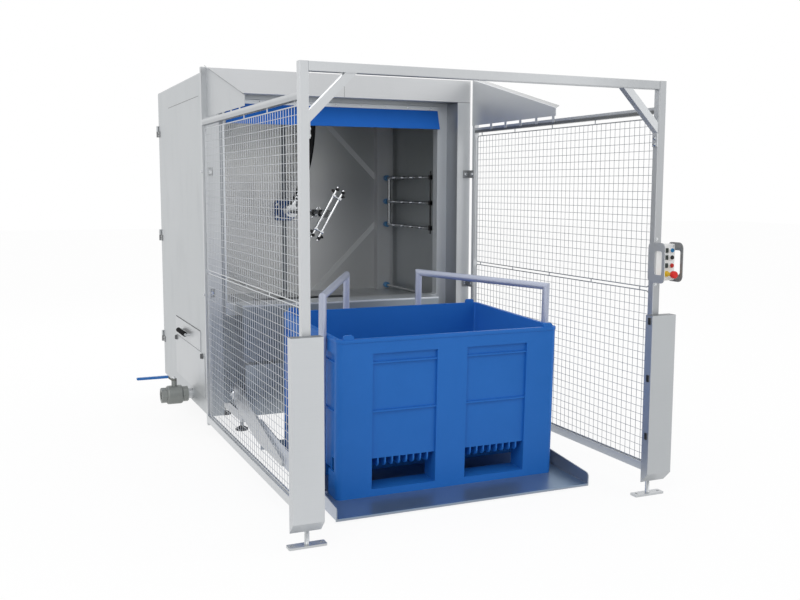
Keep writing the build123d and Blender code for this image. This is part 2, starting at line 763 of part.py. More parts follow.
# Angle clamps between the fence posts and the cabinet
clamp_heights = (1604.0, 886.0)
with BuildPart() as fence_clamps:
    for z in clamp_heights:
        for x in both(fence_in - skin, fence_in):
            block(x, (fence_post_y[0], 0.0), (z - 25.0, z + 25.0))
        for x in both(fence_in - 44.0, fence_in - skin):
            block(x, (-5.0, 0.0), (z - 25.0, z + 25.0))
fence_clamps.part.label = "fence_clamps"
export_step(fence_clamps.part, "parts/fence_clamps.step")

# Wing plates over the fences, with a top edge folded outwards and tabs on the top rails
wing_low = 1918.0
wing_front = -930.0
wing_front_z = 1965.0
wing_crest_y = -900.0
wing_crest_z = 1983.0
wing_sheet = 3.0
wing_fold = 16.0
wing_in = fence_in - wing_sheet
wing_slope = (upright_z[1] - wing_crest_z) / (fence_rear - wing_crest_y)
fold_rear_z = upright_z[1] - wing_slope * fence_tube
tab_low = top_rail_z + 10.0
tab_spots = (-120.0, -380.0, -640.0, -880.0)
tab_half = 12.0
with BuildPart() as wing_plates:
    with BuildSketch(across(wing_in)):
        with BuildLine():
            Polyline(
                (fence_rear, wing_low),
                (wing_front, wing_low),
                (wing_front, wing_front_z),
                (wing_crest_y, wing_crest_z),
                (fence_rear, upright_z[1]),
                close=True,
            )
        make_face()
    extrude(amount=wing_sheet)
    with BuildSketch(across(wing_in)):
        with BuildLine():
            Polyline(
                (wing_crest_y, wing_crest_z),
                (fence_post_y[0], fold_rear_z),
                (fence_post_y[0], fold_rear_z - wing_sheet),
                (wing_crest_y, wing_crest_z - wing_sheet),
                close=True,
            )
        make_face()
    extrude(amount=wing_sheet + wing_fold)
    for y in tab_spots:
        block((wing_in, fence_in), (y - tab_half, y + tab_half), (tab_low, wing_low))
    mirror(about=across(0))
wing_plates.part.label = "wing_plates"
export_step(wing_plates.part, "parts/wing_plates.step")

# Portal: posts, beam and knee braces
portal_y = (portal_front, portal_rear)
beam_low = portal_top - tube
post_in = post_x - tube / 2
post_out = post_x + tube / 2
with BuildPart() as portal_posts:
    for x in both(post_in, post_out):
        block(x, portal_y, (post_bottom, portal_top))
    fillet(portal_posts.edges().filter_by(Axis.Z), radius=4.0)
portal_posts.part.label = "portal_posts"
export_step(portal_posts.part, "parts/portal_posts.step")

with BuildPart() as portal_beam:
    block((-post_in, post_in), portal_y, (beam_low, portal_top))
    fillet(portal_beam.edges().filter_by(Axis.X), radius=4.0)
portal_beam.part.label = "portal_beam"
export_step(portal_beam.part, "parts/portal_beam.step")

brace_low = 1774.0
brace_cut = 50.0
brace_run = beam_low - brace_low - brace_cut
brace_depth = 36.0
brace_front = portal_front + (tube - brace_depth) / 2
with BuildPart() as knee_braces:
    with BuildSketch(upright(brace_front)):
        with BuildLine():
            Polyline(
                (post_in, brace_low),
                (post_in, brace_low + brace_cut),
                (post_in - brace_run, beam_low),
                (post_in - brace_run - brace_cut, beam_low),
                close=True,
            )
        make_face()
        with Locations((post_in, brace_low - 62.0)):
            Rectangle(5.0, 70.0, align=(Align.MAX, Align.MIN))
    extrude(amount=-brace_depth)
    mirror(about=across(0))
knee_braces.part.label = "knee_braces"
export_step(knee_braces.part, "parts/knee_braces.step")

# Light curtain covers on the front of the posts, folded from sheet and open at the back
cover_x = (831.0, 971.0)
cover_depth = 50.0
cover_z = (74.0, 908.0)
cover_front = portal_front - cover_depth
with BuildPart() as light_curtain_covers:
    with BuildSketch(across(cover_x[0])):
        with BuildLine():
            Polyline(
                (cover_front, cover_z[0] + cover_depth),
                (portal_front, cover_z[0]),
                (portal_front, cover_z[1]),
                (cover_front, cover_z[1]),
                close=True,
            )
        make_face()
    extrude(amount=cover_x[1] - cover_x[0])
    offset(amount=-wing_sheet, openings=light_curtain_covers.faces().sort_by(Axis.Y)[-1])
    mirror(about=across(0))
light_curtain_covers.part.label = "light_curtain_covers"
export_step(light_curtain_covers.part, "parts/light_curtain_covers.step")

# Portal feet: anchor plates, spindles and lock nuts
plate_size = (170.0, 50.0, 10.0)
anchor_spacing = 130.0
anchor_radius = 7.0
portal_mid = portal_front + tube / 2
with BuildPart() as portal_feet:
    with BuildSketch(level(0.0)):
        with Locations((-post_x, portal_mid), (post_x, portal_mid)):
            RectangleRounded(plate_size[0], plate_size[1], radius=6.0)
            with GridLocations(anchor_spacing, 0, 2, 1):
                Circle(anchor_radius, mode=Mode.SUBTRACT)
    extrude(amount=plate_size[2])
    for x in (-post_x, post_x):
        rod((x, portal_mid, plate_size[2]), (0, 0, 1), 10.0, post_bottom - plate_size[2])
    with BuildSketch(level(post_bottom - 16.0)):
        with Locations((-post_x, portal_mid), (post_x, portal_mid)):
            RegularPolygon(17.0, 6)
    extrude(amount=16.0)
portal_feet.part.label = "portal_feet"
export_step(portal_feet.part, "parts/portal_feet.step")

# Operator station on the right post: bracket cheek, box, guard cheek, tiles and buttons
cheek_sheet = 4.0
cheek_y = (-2016.0, portal_rear)
cheek_z = (1064.0, 1257.0)
cheek_window_y = (-1995.0, -1943.0)
cheek_window_z = (1103.0, 1217.0)
guard_y = (-2006.0, portal_rear)
guard_z = (1066.0, 1257.0)
guard_window_y = (-1989.0, -1942.0)
guard_window_z = (1102.0, 1219.0)
box_front = -1948.0
box_x = (post_in + 3.0, right_reach - cheek_sheet)
box_z = (1072.0, 1249.0)


def pane(y, z, radius, mode=Mode.ADD):
    # Rounded rectangle between pairs of limits, in an upright plane that faces +X
    with Locations(((y[0] + y[1]) / 2, (z[0] + z[1]) / 2)):
        RectangleRounded(y[1] - y[0], z[1] - z[0], radius=radius, mode=mode)


with BuildPart() as control_bracket:
    with BuildSketch(across(post_in)):
        pane(cheek_y, cheek_z, 24.0)
        pane(cheek_window_y, cheek_window_z, 10.0, Mode.SUBTRACT)
    extrude(amount=-cheek_sheet)
control_bracket.part.label = "control_bracket"
export_step(control_bracket.part, "parts/control_bracket.step")

with BuildPart() as control_guard:
    with BuildSketch(across(box_x[1])):
        pane(guard_y, guard_z, 30.0)
        pane(guard_window_y, guard_window_z, 10.0, Mode.SUBTRACT)
    extrude(amount=cheek_sheet)
control_guard.part.label = "control_guard"
export_step(control_guard.part, "parts/control_guard.step")

# The box stands in front of the post and reaches back beside it
tile_x = 931.0
button_x = 959.5
button_rows = {"blue_button": 1218.0, "black_button": 1184.0, "red_button": 1145.0}
button_cap = 10.0
button_stem = 7.0
bezel_radius = 12.5
bezel_depth = 7.0
button_front = box_front - 12.0
button_back = box_front - 4.5
stem_depth = 15.0
stem_room = stem_depth + 6.0
stop_spot = (931.0, 1105.0)
stop_stem = 9.0
with BuildPart() as control_box:
    block(box_x, (box_front, portal_front), box_z)
    fillet(control_box.edges().filter_by(Axis.Y), radius=6.0)
    block((post_out, box_x[1]), (portal_front, portal_rear), box_z)
    for z in button_rows.values():
        rod((button_x, box_front, z), (0, -1, 0), bezel_radius, bezel_depth)
        rod((button_x, box_front, z), (0, -1, 0), button_cap + 0.4, bezel_depth, mode=Mode.SUBTRACT)
        rod((button_x, box_front, z), (0, 1, 0), button_stem + running_gap, stem_room, mode=Mode.SUBTRACT)
    rod((stop_spot[0], box_front, stop_spot[1]), (0, 1, 0), stop_stem + 1.0, 24.0, mode=Mode.SUBTRACT)
control_box.part.label = "control_box"
export_step(control_box.part, "parts/control_box.step")

with BuildPart() as indicator_tiles:
    with BuildSketch(upright(box_front)):
        with Locations([(tile_x, z) for z in button_rows.values()]):
            RectangleRounded(18.0, 22.0, radius=2.0)
    extrude(amount=4.0)
indicator_tiles.part.label = "indicator_tiles"
export_step(indicator_tiles.part, "parts/indicator_tiles.step")

for button_name, z in button_rows.items():
    with BuildPart() as button:
        rod((button_x, button_front, z), (0, 1, 0), button_cap, button_back - button_front)
        fillet(button.faces().sort_by(Axis.Y)[0].edges(), radius=2.0)
        rod((button_x, button_back, z), (0, 1, 0), button_stem, box_front + stem_depth - button_back)
    button.part.label = button_name
    export_step(button.part, f"parts/{button_name}.step")

collar_depth = 10.0
with BuildPart() as e_stop_collar:
    with BuildSketch(upright(box_front)):
        with Locations(stop_spot):
            Circle(14.0)
            Circle(stop_stem + running_gap, mode=Mode.SUBTRACT)
    extrude(amount=collar_depth)
    fillet(e_stop_collar.faces().sort_by(Axis.Y)[0].outer_wire().edges(), radius=2.0)
e_stop_collar.part.label = "e_stop_collar"
export_step(e_stop_collar.part, "parts/e_stop_collar.step")

# Mushroom head with a rounded rim, on a stem that runs in the collar
head_radius = 18.0
head_depth = 20.0
head_back = front_reach + head_depth
stem_end = box_front + 10.0
with BuildPart() as e_stop_button:
    rod((stop_spot[0], front_reach, stop_spot[1]), (0, 1, 0), head_radius, head_depth)
    fillet(e_stop_button.faces().sort_by(Axis.Y)[0].edges(), radius=8.0)
    rod((stop_spot[0], head_back, stop_spot[1]), (0, 1, 0), stop_stem, stem_end - head_back)
e_stop_button.part.label = "e_stop_button"
export_step(e_stop_button.part, "parts/e_stop_button.step")

# Platform deck: plate, rising side flanges, front hem, ribs and a rear beam
plate_low = deck_top - deck_plate
front_hem = (deck_front, deck_front + deck_plate)
rear_beam = (deck_rear - 15.0, deck_rear)
hem_drop = 6.0
rear_drop = 38.0
rib_half = 4.0
rib_spots = (-400.0, 0.0, 400.0)
with BuildPart() as platform_deck:
    block((-deck_half, deck_half), (deck_front, deck_rear), (plate_low, deck_top), cradle)
    for y, drop in ((front_hem, hem_drop), (rear_beam, rear_drop)):
        block((-deck_half, deck_half), y, (plate_low - drop, plate_low), cradle)
    for x in (-deck_half, deck_half - deck_plate):
        with BuildSketch(across(x, cradle)):
            with BuildLine():
                Polyline(
                    (deck_front, deck_top),
                    (deck_front, deck_top + flange_front),
                    (deck_rear, deck_top + flange_rear),
                    (deck_rear, deck_top),
                    close=True,
                )
            flange = make_face()
            fillet(flange.vertices().group_by(Axis.X)[0].sort_by(Axis.Y)[-1], radius=22.0)
        extrude(amount=deck_plate)
    for x in rib_spots:
        with BuildSketch(across(x - rib_half, cradle)):
            with BuildLine():
                Polyline(
                    (deck_front + deck_plate, plate_low),
                    (deck_front + deck_plate, plate_low - hem_drop),
                    (deck_rear, plate_low - rear_drop),
                    (deck_rear, plate_low),
                    close=True,
                )
            make_face()
        extrude(amount=2 * rib_half)
platform_deck.part.label = "platform_deck"
export_step(platform_deck.part, "parts/platform_deck.step")

# Cradle arms: plates from the deck flanges back to their hubs on the tilt shaft
hub_plate = 30.0
with BuildPart() as cradle_arms:
    for side in (-1, 1):
        with BuildSketch(across(side * deck_half, cradle)):
            with BuildLine():
                Polyline(
                    (-995.0, deck_top - 2.0),
                    (-995.0, -124.0),
                    (-520.0, -30.0),
                    (-150.0, 52.0),
                    (0.0, hub_radius),
                    (0.0, -hub_radius),
                    (-120.0, -100.0),
                    (-520.0, -163.0),
                    close=True,
                )
            make_face()
            Circle(hub_radius)
            Circle(shaft_radius + running_gap, mode=Mode.SUBTRACT)
        extrude(amount=side * arm_plate)
        with BuildSketch(across(side * (deck_half + arm_plate), cradle)):
            Circle(hub_radius - 14.0)
            Circle(shaft_radius + running_gap, mode=Mode.SUBTRACT)
        extrude(amount=side * (hub_plate - arm_plate))
cradle_arms.part.label = "cradle_arms"
export_step(cradle_arms.part, "parts/cradle_arms.step")

# Tilt shaft
with BuildPart() as tilt_shaft:
    rod((-deck_half - hub_plate, 0.0, 0.0), (1, 0, 0), shaft_radius, 2 * (deck_half + hub_plate), cradle)
tilt_shaft.part.label = "tilt_shaft"
export_step(tilt_shaft.part, "parts/tilt_shaft.step")

# Tube hoops that hold the crate while it is tipped, each leg on a foot plate
hoop_z = deck_top + crate_height + hoop_rise
hoop_foot = 8.0
foot_half = 35.0
foot_edge = crate_width / 2 + 3.0
foot_back = crate_front + crate_depth + 2.0
with BuildPart() as cradle_hoops:
    for side in (-1, 1):
        corners = [
            (side * hoop_near_x, hoop_near_y, deck_top),
            (side * hoop_near_x, hoop_near_y, hoop_z),
            (side * hoop_far_x, hoop_far_y, hoop_z),
            (side * hoop_far_x, hoop_far_y, deck_top),
        ]
        with BuildLine() as hoop_line:
            Polyline(*[(cradle * Location(corner)).position for corner in corners])
        with BuildSketch(Plane(cradle * Location(corners[0]))):
            Circle(hoop_tube)
        sweep(path=hoop_line.wires()[0], transition=Transition.RIGHT)
    foot_z = (deck_top, deck_top + hoop_foot)
    for x in both(foot_edge, foot_edge + 60.0):
        block(x, (hoop_near_y - foot_half, hoop_near_y + foot_half), foot_z, cradle)
    for x in both(hoop_far_x - foot_half, hoop_far_x + foot_half):
        block(x, (foot_back, foot_back + 60.0), foot_z, cradle)
cradle_hoops.part.label = "cradle_hoops"
export_step(cradle_hoops.part, "parts/cradle_hoops.step")

# Pallet box: recessed wall panels with ribs, fork tunnels under combs of fins, hollow feet, stacking lugs
crate_low = deck_top
crate_mid = crate_front + crate_depth / 2
crate_back = crate_front + crate_depth
rim = crate_height - lug_height
tunnel_x = (82.0, 422.0)
tunnel_y = (61.0, 318.0)
side_tunnel = 128.0
side_panel = (75.0, 395.0)
rail_lines = (656.0, 417.0)
line_height = 8.0
line_gap = 4.0
fin_depth = 60.0
fin_low = 140.0
fin_count = 8
fin_half = 4.0
fin_corner = 25.0
cavity_corner = 14.0
foot_wall = 12.0
lug_x = 545.0
lug_width = 50.0
lug_depth = 18.0


def crate_z(low, high):
    # Heights above the deck
    return (crate_low + low, crate_low + high)


def crate_y(low, high):
    # The same limits towards the front and towards the rear of the crate's middle
    return ((crate_mid - high, crate_mid - low), (crate_mid + low, crate_mid + high))


ends_x = both(crate_width / 2 - crate_recess, crate_width / 2)
ends_y = crate_y(crate_depth / 2 - crate_recess, crate_depth / 2)
lines_x = both(crate_width / 2 - crate_recess, crate_width / 2 - line_gap)
lines_y = crate_y(crate_depth / 2 - crate_recess, crate_depth / 2 - line_gap)
whole_x = (-crate_width / 2, crate_width / 2)
whole_y = (crate_front, crate_back)
with BuildPart() as crate:
    with BuildSketch(level(crate_low, cradle)):
        with Locations((0.0, crate_mid)):
            RectangleRounded(crate_width, crate_depth, radius=crate_corner)
    extrude(amount=rim)
    with BuildSketch(level(crate_low + crate_floor, cradle)):
        with Locations((0.0, crate_mid)):
            cavity = (crate_width - 2 * crate_wall, crate_depth - 2 * crate_wall)
            RectangleRounded(*cavity, radius=cavity_corner)
    extrude(amount=rim - crate_floor, mode=Mode.SUBTRACT)

    # Recesses of the wall panels and the tunnels
    for x in both(*tunnel_x):
        for y in ends_y:
            block(x, y, crate_z(crate_skid, panel_top), cradle, Mode.SUBTRACT)
        block(x, whole_y, crate_z(crate_skid, fork_top), cradle, Mode.SUBTRACT)
    for y in crate_y(*side_panel):
        for x in ends_x:
            block(x, y, crate_z(side_tunnel, panel_top), cradle, Mode.SUBTRACT)
    for y in crate_y(*tunnel_y):
        block(whole_x, y, crate_z(0.0, side_tunnel), cradle, Mode.SUBTRACT)

    # Level ribs across the panels
    for z in rail_lines:
        for x in both(*tunnel_x):
            for y in lines_y:
                block(x, y, crate_z(z, z + line_height), cradle)
        for y in crate_y(*side_panel):
            for x in lines_x:
                block(x, y, crate_z(z, z + line_height), cradle)

    # Combs of fins over the fork tunnels, rounded at their outer lower corner
    fin_pitch = (tunnel_x[1] - tunnel_x[0]) / (fin_count + 1)
    fin_run = [tunnel_x[0] + fin * fin_pitch for fin in range(1, fin_count + 1)]
    fin_spots = [side * x for side in (-1, 1) for x in fin_run]
    with BuildSketch(*[across(x - fin_half, cradle) for x in fin_spots]):
        for near, outer in ((crate_front + crate_recess, 0), (crate_back - crate_recess - fin_depth, -1)):
            with Locations((near, crate_low + fin_low)):
                comb = Rectangle(fin_depth, fork_top - fin_low, align=(Align.MIN, Align.MIN))
            fillet(comb.vertices().group_by(Axis.Y)[0].sort_by(Axis.X)[outer], radius=fin_corner)
    extrude(amount=2 * fin_half)

    # Feet hollow from below
    outer_foot = (tunnel_x[1] + foot_wall, crate_width / 2 - foot_wall)
    end_foot = (tunnel_y[1] + foot_wall, crate_depth / 2 - foot_wall)
    middle_x = (-tunnel_x[0] + foot_wall, tunnel_x[0] - foot_wall)
    middle_y = (crate_mid - tunnel_y[0] + foot_wall, crate_mid + tunnel_y[0] - foot_wall)
    for x in (*both(*outer_foot), middle_x):
        for y in (*crate_y(*end_foot), middle_y):
            block(x, y, crate_z(0.0, fork_top), cradle, Mode.SUBTRACT)

    # Stacking lugs on the rim
    for near in (crate_front + 1.0, crate_back - 1.0 - lug_depth):
        with BuildSketch(upright(near, cradle)):
            with Locations((-lug_x, crate_low + rim), (lug_x, crate_low + rim)):
                lug = Rectangle(lug_width, lug_height, align=(Align.CENTER, Align.MIN))
            fillet(lug.vertices().group_by(Axis.Y)[-1], radius=12.0)
        extrude(amount=-lug_depth)
crate.part.label = "crate"
export_step(crate.part, "parts/crate.step")

# Spray rotor: hollow shaft with two nozzle rings, and the arm of two tubes on a hub
shaft_front = 8.5
ring_spots = ((110.0, 45.0), (250.0, 0.0))
ring_width = 30.0
ring_radius = 25.0
with BuildPart() as spray_shaft:
    rod((0.0, shaft_front, 0.0), (0, 1, 0), spray_shaft_radius, shaft_rear - spray_y - shaft_front, rotor)
    for ring_y, ring_turn in ring_spots:
        rod((0.0, ring_y, 0.0), (0, 1, 0), ring_radius, ring_width, rotor)
        for quarter in range(4):
            turn = radians(ring_turn + 90.0 * quarter)
            rod((0.0, ring_y + ring_width / 2, 0.0), (cos(turn), 0, sin(turn)), 6.0, 44.0, rotor)
spray_shaft.part.label = "spray_shaft"
export_step(spray_shaft.part, "parts/spray_shaft.step")

hub_y = (2.0, 46.0)
arm_hub = 27.0
arm_tube = 9.0
tube_spread = 23.0
rung_z = 125.0
nozzle_end = arm_half - 14.0
with BuildPart() as spray_arm:
    rod((0.0, hub_y[0], 0.0), (0, 1, 0), arm_hub, hub_y[1] - hub_y[0], rotor)
    for x in (-tube_spread, tube_spread):
        rod((x, 0.0, -arm_half), (0, 0, 1), arm_tube, 2 * arm_half, rotor)
        for z in (-nozzle_end, nozzle_end):
            rod((x, 0.0, z), (0, -1, 0), 6.5, 24.0, rotor)
    for z in (-rung_z, rung_z):
        rod((-tube_spread, 0.0, z), (1, 0, 0), 7.0, 2 * tube_spread, rotor)
    rod((0.0, shaft_front - 0.5, 0.0), (0, 1, 0), shaft_bore, hub_y[1], rotor, Mode.SUBTRACT)
spray_arm.part.label = "spray_arm"
export_step(spray_arm.part, "parts/spray_arm.step")
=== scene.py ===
import math
import bmesh
import bpy
from mathutils import Matrix, Vector


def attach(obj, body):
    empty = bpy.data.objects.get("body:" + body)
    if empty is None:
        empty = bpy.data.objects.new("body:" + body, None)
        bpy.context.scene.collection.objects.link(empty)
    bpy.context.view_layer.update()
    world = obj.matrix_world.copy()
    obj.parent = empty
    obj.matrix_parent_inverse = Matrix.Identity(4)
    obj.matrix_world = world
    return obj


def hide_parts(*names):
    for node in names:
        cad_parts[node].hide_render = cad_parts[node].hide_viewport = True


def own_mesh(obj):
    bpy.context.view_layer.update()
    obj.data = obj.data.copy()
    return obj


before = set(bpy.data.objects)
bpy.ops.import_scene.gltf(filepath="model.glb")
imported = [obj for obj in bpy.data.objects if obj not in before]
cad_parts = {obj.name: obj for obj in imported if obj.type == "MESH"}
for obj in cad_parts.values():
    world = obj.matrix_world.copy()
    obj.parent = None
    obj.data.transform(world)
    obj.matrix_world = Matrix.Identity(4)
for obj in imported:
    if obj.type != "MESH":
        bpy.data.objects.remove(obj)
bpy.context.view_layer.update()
print("frame loaded:", len(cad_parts), "solids")

midX = 0.123  # machine's mid-plane and front face in the frame
faceY = 0.254
cradleSpec = {"y": 95, "z": 243, "lean": math.radians(2)}  # tilt shaft, and the deck's lean at rest
rotorSpec = {"y": 330, "z": 1342, "turn": math.radians(30)}  # spray arm's hub, and its turn at rest


def spot(x, y, z):  # millimetres from the mid-plane, the front face and the floor
    return Vector((midX + x / 1000, faceY + y / 1000, z / 1000))


cradleFrame = (Matrix.Translation(spot(0, cradleSpec["y"], cradleSpec["z"]))
               @ Matrix.Rotation(cradleSpec["lean"], 4, "X"))
rotorFrame = (Matrix.Translation(spot(0, rotorSpec["y"], rotorSpec["z"]))
              @ Matrix.Rotation(rotorSpec["turn"], 4, "Y"))


def onCradle(x, y, z):  # millimetres from the tilt shaft, in the resting cradle
    return cradleFrame @ Vector((x / 1000, y / 1000, z / 1000))


# camera where the photograph was taken
view = {"place": (-2104.3, -5666.4, 1518.4), "yaw": 23.67, "pitch": 6.72, "roll": 0.16, "lens": 43.12,
        "sensor": 36, "far": 100}
cameraData = bpy.data.cameras.new("photoCamera")
cameraData.lens = view["lens"]
cameraData.sensor_width = view["sensor"]
cameraData.clip_end = view["far"]
camera = bpy.data.objects.new("photoCamera", cameraData)
bpy.context.scene.collection.objects.link(camera)
turn = (Matrix.Rotation(-math.radians(view["yaw"]), 4, "Z")
        @ Matrix.Rotation(math.radians(90 - view["pitch"]), 4, "X")
        @ Matrix.Rotation(math.radians(view["roll"]), 4, "Z"))
camera.matrix_world = Matrix.Translation(spot(*view["place"])) @ turn
bpy.context.scene.camera = camera


def feed(slot, value):  # sets a plain value, or links another node's output
    if isinstance(value, Sock):
        value.tree.links.new(value.out, slot)
    else:
        slot.default_value = value


class Sock:  # one output of a node, so that shader maths reads as plain sums
    def __init__(self, tree, out):
        self.tree = tree
        self.out = out

    def make(self, kind, settings=None, sockets=None, pick=0):
        node = self.tree.nodes.new(kind)
        for key, value in (settings or {}).items():
            setattr(node, key, value)
        for key, value in (sockets or {}).items():
            feed(node.inputs[key], value)
        return Sock(self.tree, node.outputs[pick])

    def sums(self, operation, first, second):
        return self.make("ShaderNodeMath", {"operation": operation}, {0: first, 1: second})

    def __add__(self, other):
        return self.sums("ADD", self, other)

    def __radd__(self, other):
        return self.sums("ADD", other, self)

    def __sub__(self, other):
        return self.sums("SUBTRACT", self, other)

    def __rsub__(self, other):
        return self.sums("SUBTRACT", other, self)

    def __mul__(self, other):
        return self.sums("MULTIPLY", self, other)

    def __rmul__(self, other):
        return self.sums("MULTIPLY", other, self)

    def size(self):  # without its sign
        return self.make("ShaderNodeMath", {"operation": "ABSOLUTE"}, {0: self})

    def within(self, none, full):  # 0 up to none, 1 from full on, smooth between
        return self.make("ShaderNodeMapRange", {"interpolation_type": "SMOOTHSTEP", "clamp": True},
                         {"Value": self, "From Min": none, "From Max": full})

    def noise(self, scale, detail, rough):
        return self.make("ShaderNodeTexNoise", None,
                         {"Vector": self, "Scale": scale, "Detail": detail, "Roughness": rough})

    def stretch(self, x, y, z):
        return self.make("ShaderNodeMapping", None, {"Vector": self, "Scale": (x, y, z)})

    def mix(self, base, colour, blend="MIX"):  # from base to colour as this value goes from 0 to 1
        ends = [end if isinstance(end, Sock) else (*end, 1) for end in (base, colour)]
        return self.make("ShaderNodeMix", {"data_type": "RGBA", "blend_type": blend, "clamp_factor": True},
                         {0: self, 6: ends[0], 7: ends[1]}, pick=2)  # the node's colour sockets


class Finish:  # a material with its shader and its object coordinates at hand
    def __init__(self, name):
        self.material = bpy.data.materials.new(name)
        self.material.use_nodes = True
        self.tree = self.material.node_tree
        self.shader = self.tree.nodes["Principled BSDF"]
        coords = self.tree.nodes.new("ShaderNodeTexCoord")
        self.place = Sock(self.tree, coords.outputs["Object"])
        split = self.tree.nodes.new("ShaderNodeSeparateXYZ")
        self.tree.links.new(coords.outputs["Object"], split.inputs[0])
        self.x, self.y, self.z = (Sock(self.tree, out) for out in split.outputs)

    def set(self, **values):
        for key, value in values.items():
            feed(self.shader.inputs[key.replace("_", " ")], value)

    def bump(self, height, depth, strength):
        self.set(Normal=self.place.make("ShaderNodeBump", None,
                                        {"Height": height, "Distance": depth, "Strength": strength}))


finishes = {}


# measures on the machine, in metres, that painted light and shade and patches lie between
def xAcross(finish):  # from the mid-plane to the right
    return finish.x - midX


def xAside(finish):  # from the mid-plane to either side
    return xAcross(finish).size()


def yBehind(finish):  # behind the cabinet's face
    return finish.y - faceY


def zUp(finish):  # above the floor
    return finish.z


def offDeck(finish):  # above the tilt shaft, square to the leaning deck
    up, behind = finish.z - cradleSpec["z"] / 1000, yBehind(finish) - cradleSpec["y"] / 1000
    return up * math.cos(cradleSpec["lean"]) - behind * math.sin(cradleSpec["lean"])


def offShaft(finish):  # squared distance from the spray shaft's axis
    across, up = xAcross(finish), finish.z - rotorSpec["z"] / 1000
    return across * across + up * up


def armAside(finish):  # across the spray arm, from its middle
    up = finish.z - rotorSpec["z"] / 1000
    return (xAcross(finish) * math.cos(rotorSpec["turn"]) - up * math.sin(rotorSpec["turn"])).size()


def armAlong(finish):  # along the spray arm, from its middle
    up = finish.z - rotorSpec["z"] / 1000
    return (xAcross(finish) * math.sin(rotorSpec["turn"]) + up * math.cos(rotorSpec["turn"])).size()


def areaMask(finish, limits):  # a limit is a measure, where the area is still none and where it is full
    mask = None
    for measure, none, full in limits:
        step = measure(finish).within(none, full)
        mask = step if mask is None else mask * step
    return mask


# satin stainless sheets and tubes
plainSheet = {"low": (0.54, 0.56, 0.575), "high": (0.64, 0.655, 0.67), "metal": 0.66, "gloss": (0.32, 0.48),
              "grain": (5, 5, 420)}
plainTube = {"low": (0.52, 0.54, 0.555), "high": (0.63, 0.645, 0.66), "metal": 0.74, "gloss": (0.28, 0.44),
             "grain": (260, 260, 30)}
satinSheets = {
    "cabinetSteel": plainSheet,
    # a bluer copy of the plain sheet: painted bluish shade on the lower front panel
    "lowerSteel": {**plainSheet, "low": (0.48, 0.55, 0.63), "high": (0.56, 0.63, 0.71)},
    # a paler copy of the plain sheet: painted light on the lintel
    "lintelSteel": {**plainSheet, "low": (0.60, 0.615, 0.63), "high": (0.70, 0.71, 0.72)},
    "wingSteel": plainSheet,
    "coverSteel": plainSheet,
    "apronSteel": plainSheet,
    # a darker copy of the plain sheet: painted shade on the side panels
    "panelSteel": {**plainSheet, "low": (0.49, 0.515, 0.53), "high": (0.565, 0.585, 0.60)},
    "jambSteel": {**plainSheet, "grain": (240, 5, 12)},
    "chamberSteel": {"low": (0.74, 0.75, 0.75), "high": (0.84, 0.84, 0.835), "metal": 0.55,
                     "gloss": (0.36, 0.52), "grain": (300, 5, 6)},
    "columnSteel": {"low": (0.51, 0.525, 0.535), "high": (0.60, 0.61, 0.62), "metal": 0.55,
                    "gloss": (0.36, 0.50), "grain": (260, 260, 12)},
    "recessSteel": {"low": (0.60, 0.63, 0.655), "high": (0.70, 0.73, 0.755), "metal": 0.6,
                    "gloss": (0.32, 0.46), "grain": (6, 240, 12)},
    "frameSteel": plainTube,
    "portalSteel": plainTube,
    "fenceSteel": plainTube,
    "clampSteel": {**plainTube, "low": (0.24, 0.25, 0.26), "high": (0.34, 0.35, 0.36)},
    "wireSteel": {"low": (0.54, 0.56, 0.58), "high": (0.70, 0.72, 0.74), "metal": 0.6,
                  "gloss": (0.30, 0.42), "grain": (90, 90, 90)},
    "hoopSteel": {"low": (0.46, 0.50, 0.62), "high": (0.55, 0.59, 0.71), "metal": 0.45,
                  "gloss": (0.32, 0.46), "grain": (180, 180, 60)},
    # blue-grey steel, partly a painted reflection of the blue crate
    "deckSteel": {"low": (0.245, 0.29, 0.36), "high": (0.325, 0.37, 0.45), "metal": 0.72,
                  "gloss": (0.28, 0.42), "grain": (6, 320, 60)},
    "valveSteel": {"low": (0.18, 0.195, 0.19), "high": (0.37, 0.385, 0.37), "metal": 0.5,
                   "gloss": (0.38, 0.56), "grain": (150, 150, 150)},
    "guardSteel": {"low": (0.22, 0.225, 0.23), "high": (0.31, 0.315, 0.32), "metal": 0.5,
                   "gloss": (0.34, 0.5), "grain": (60, 60, 300)},
}
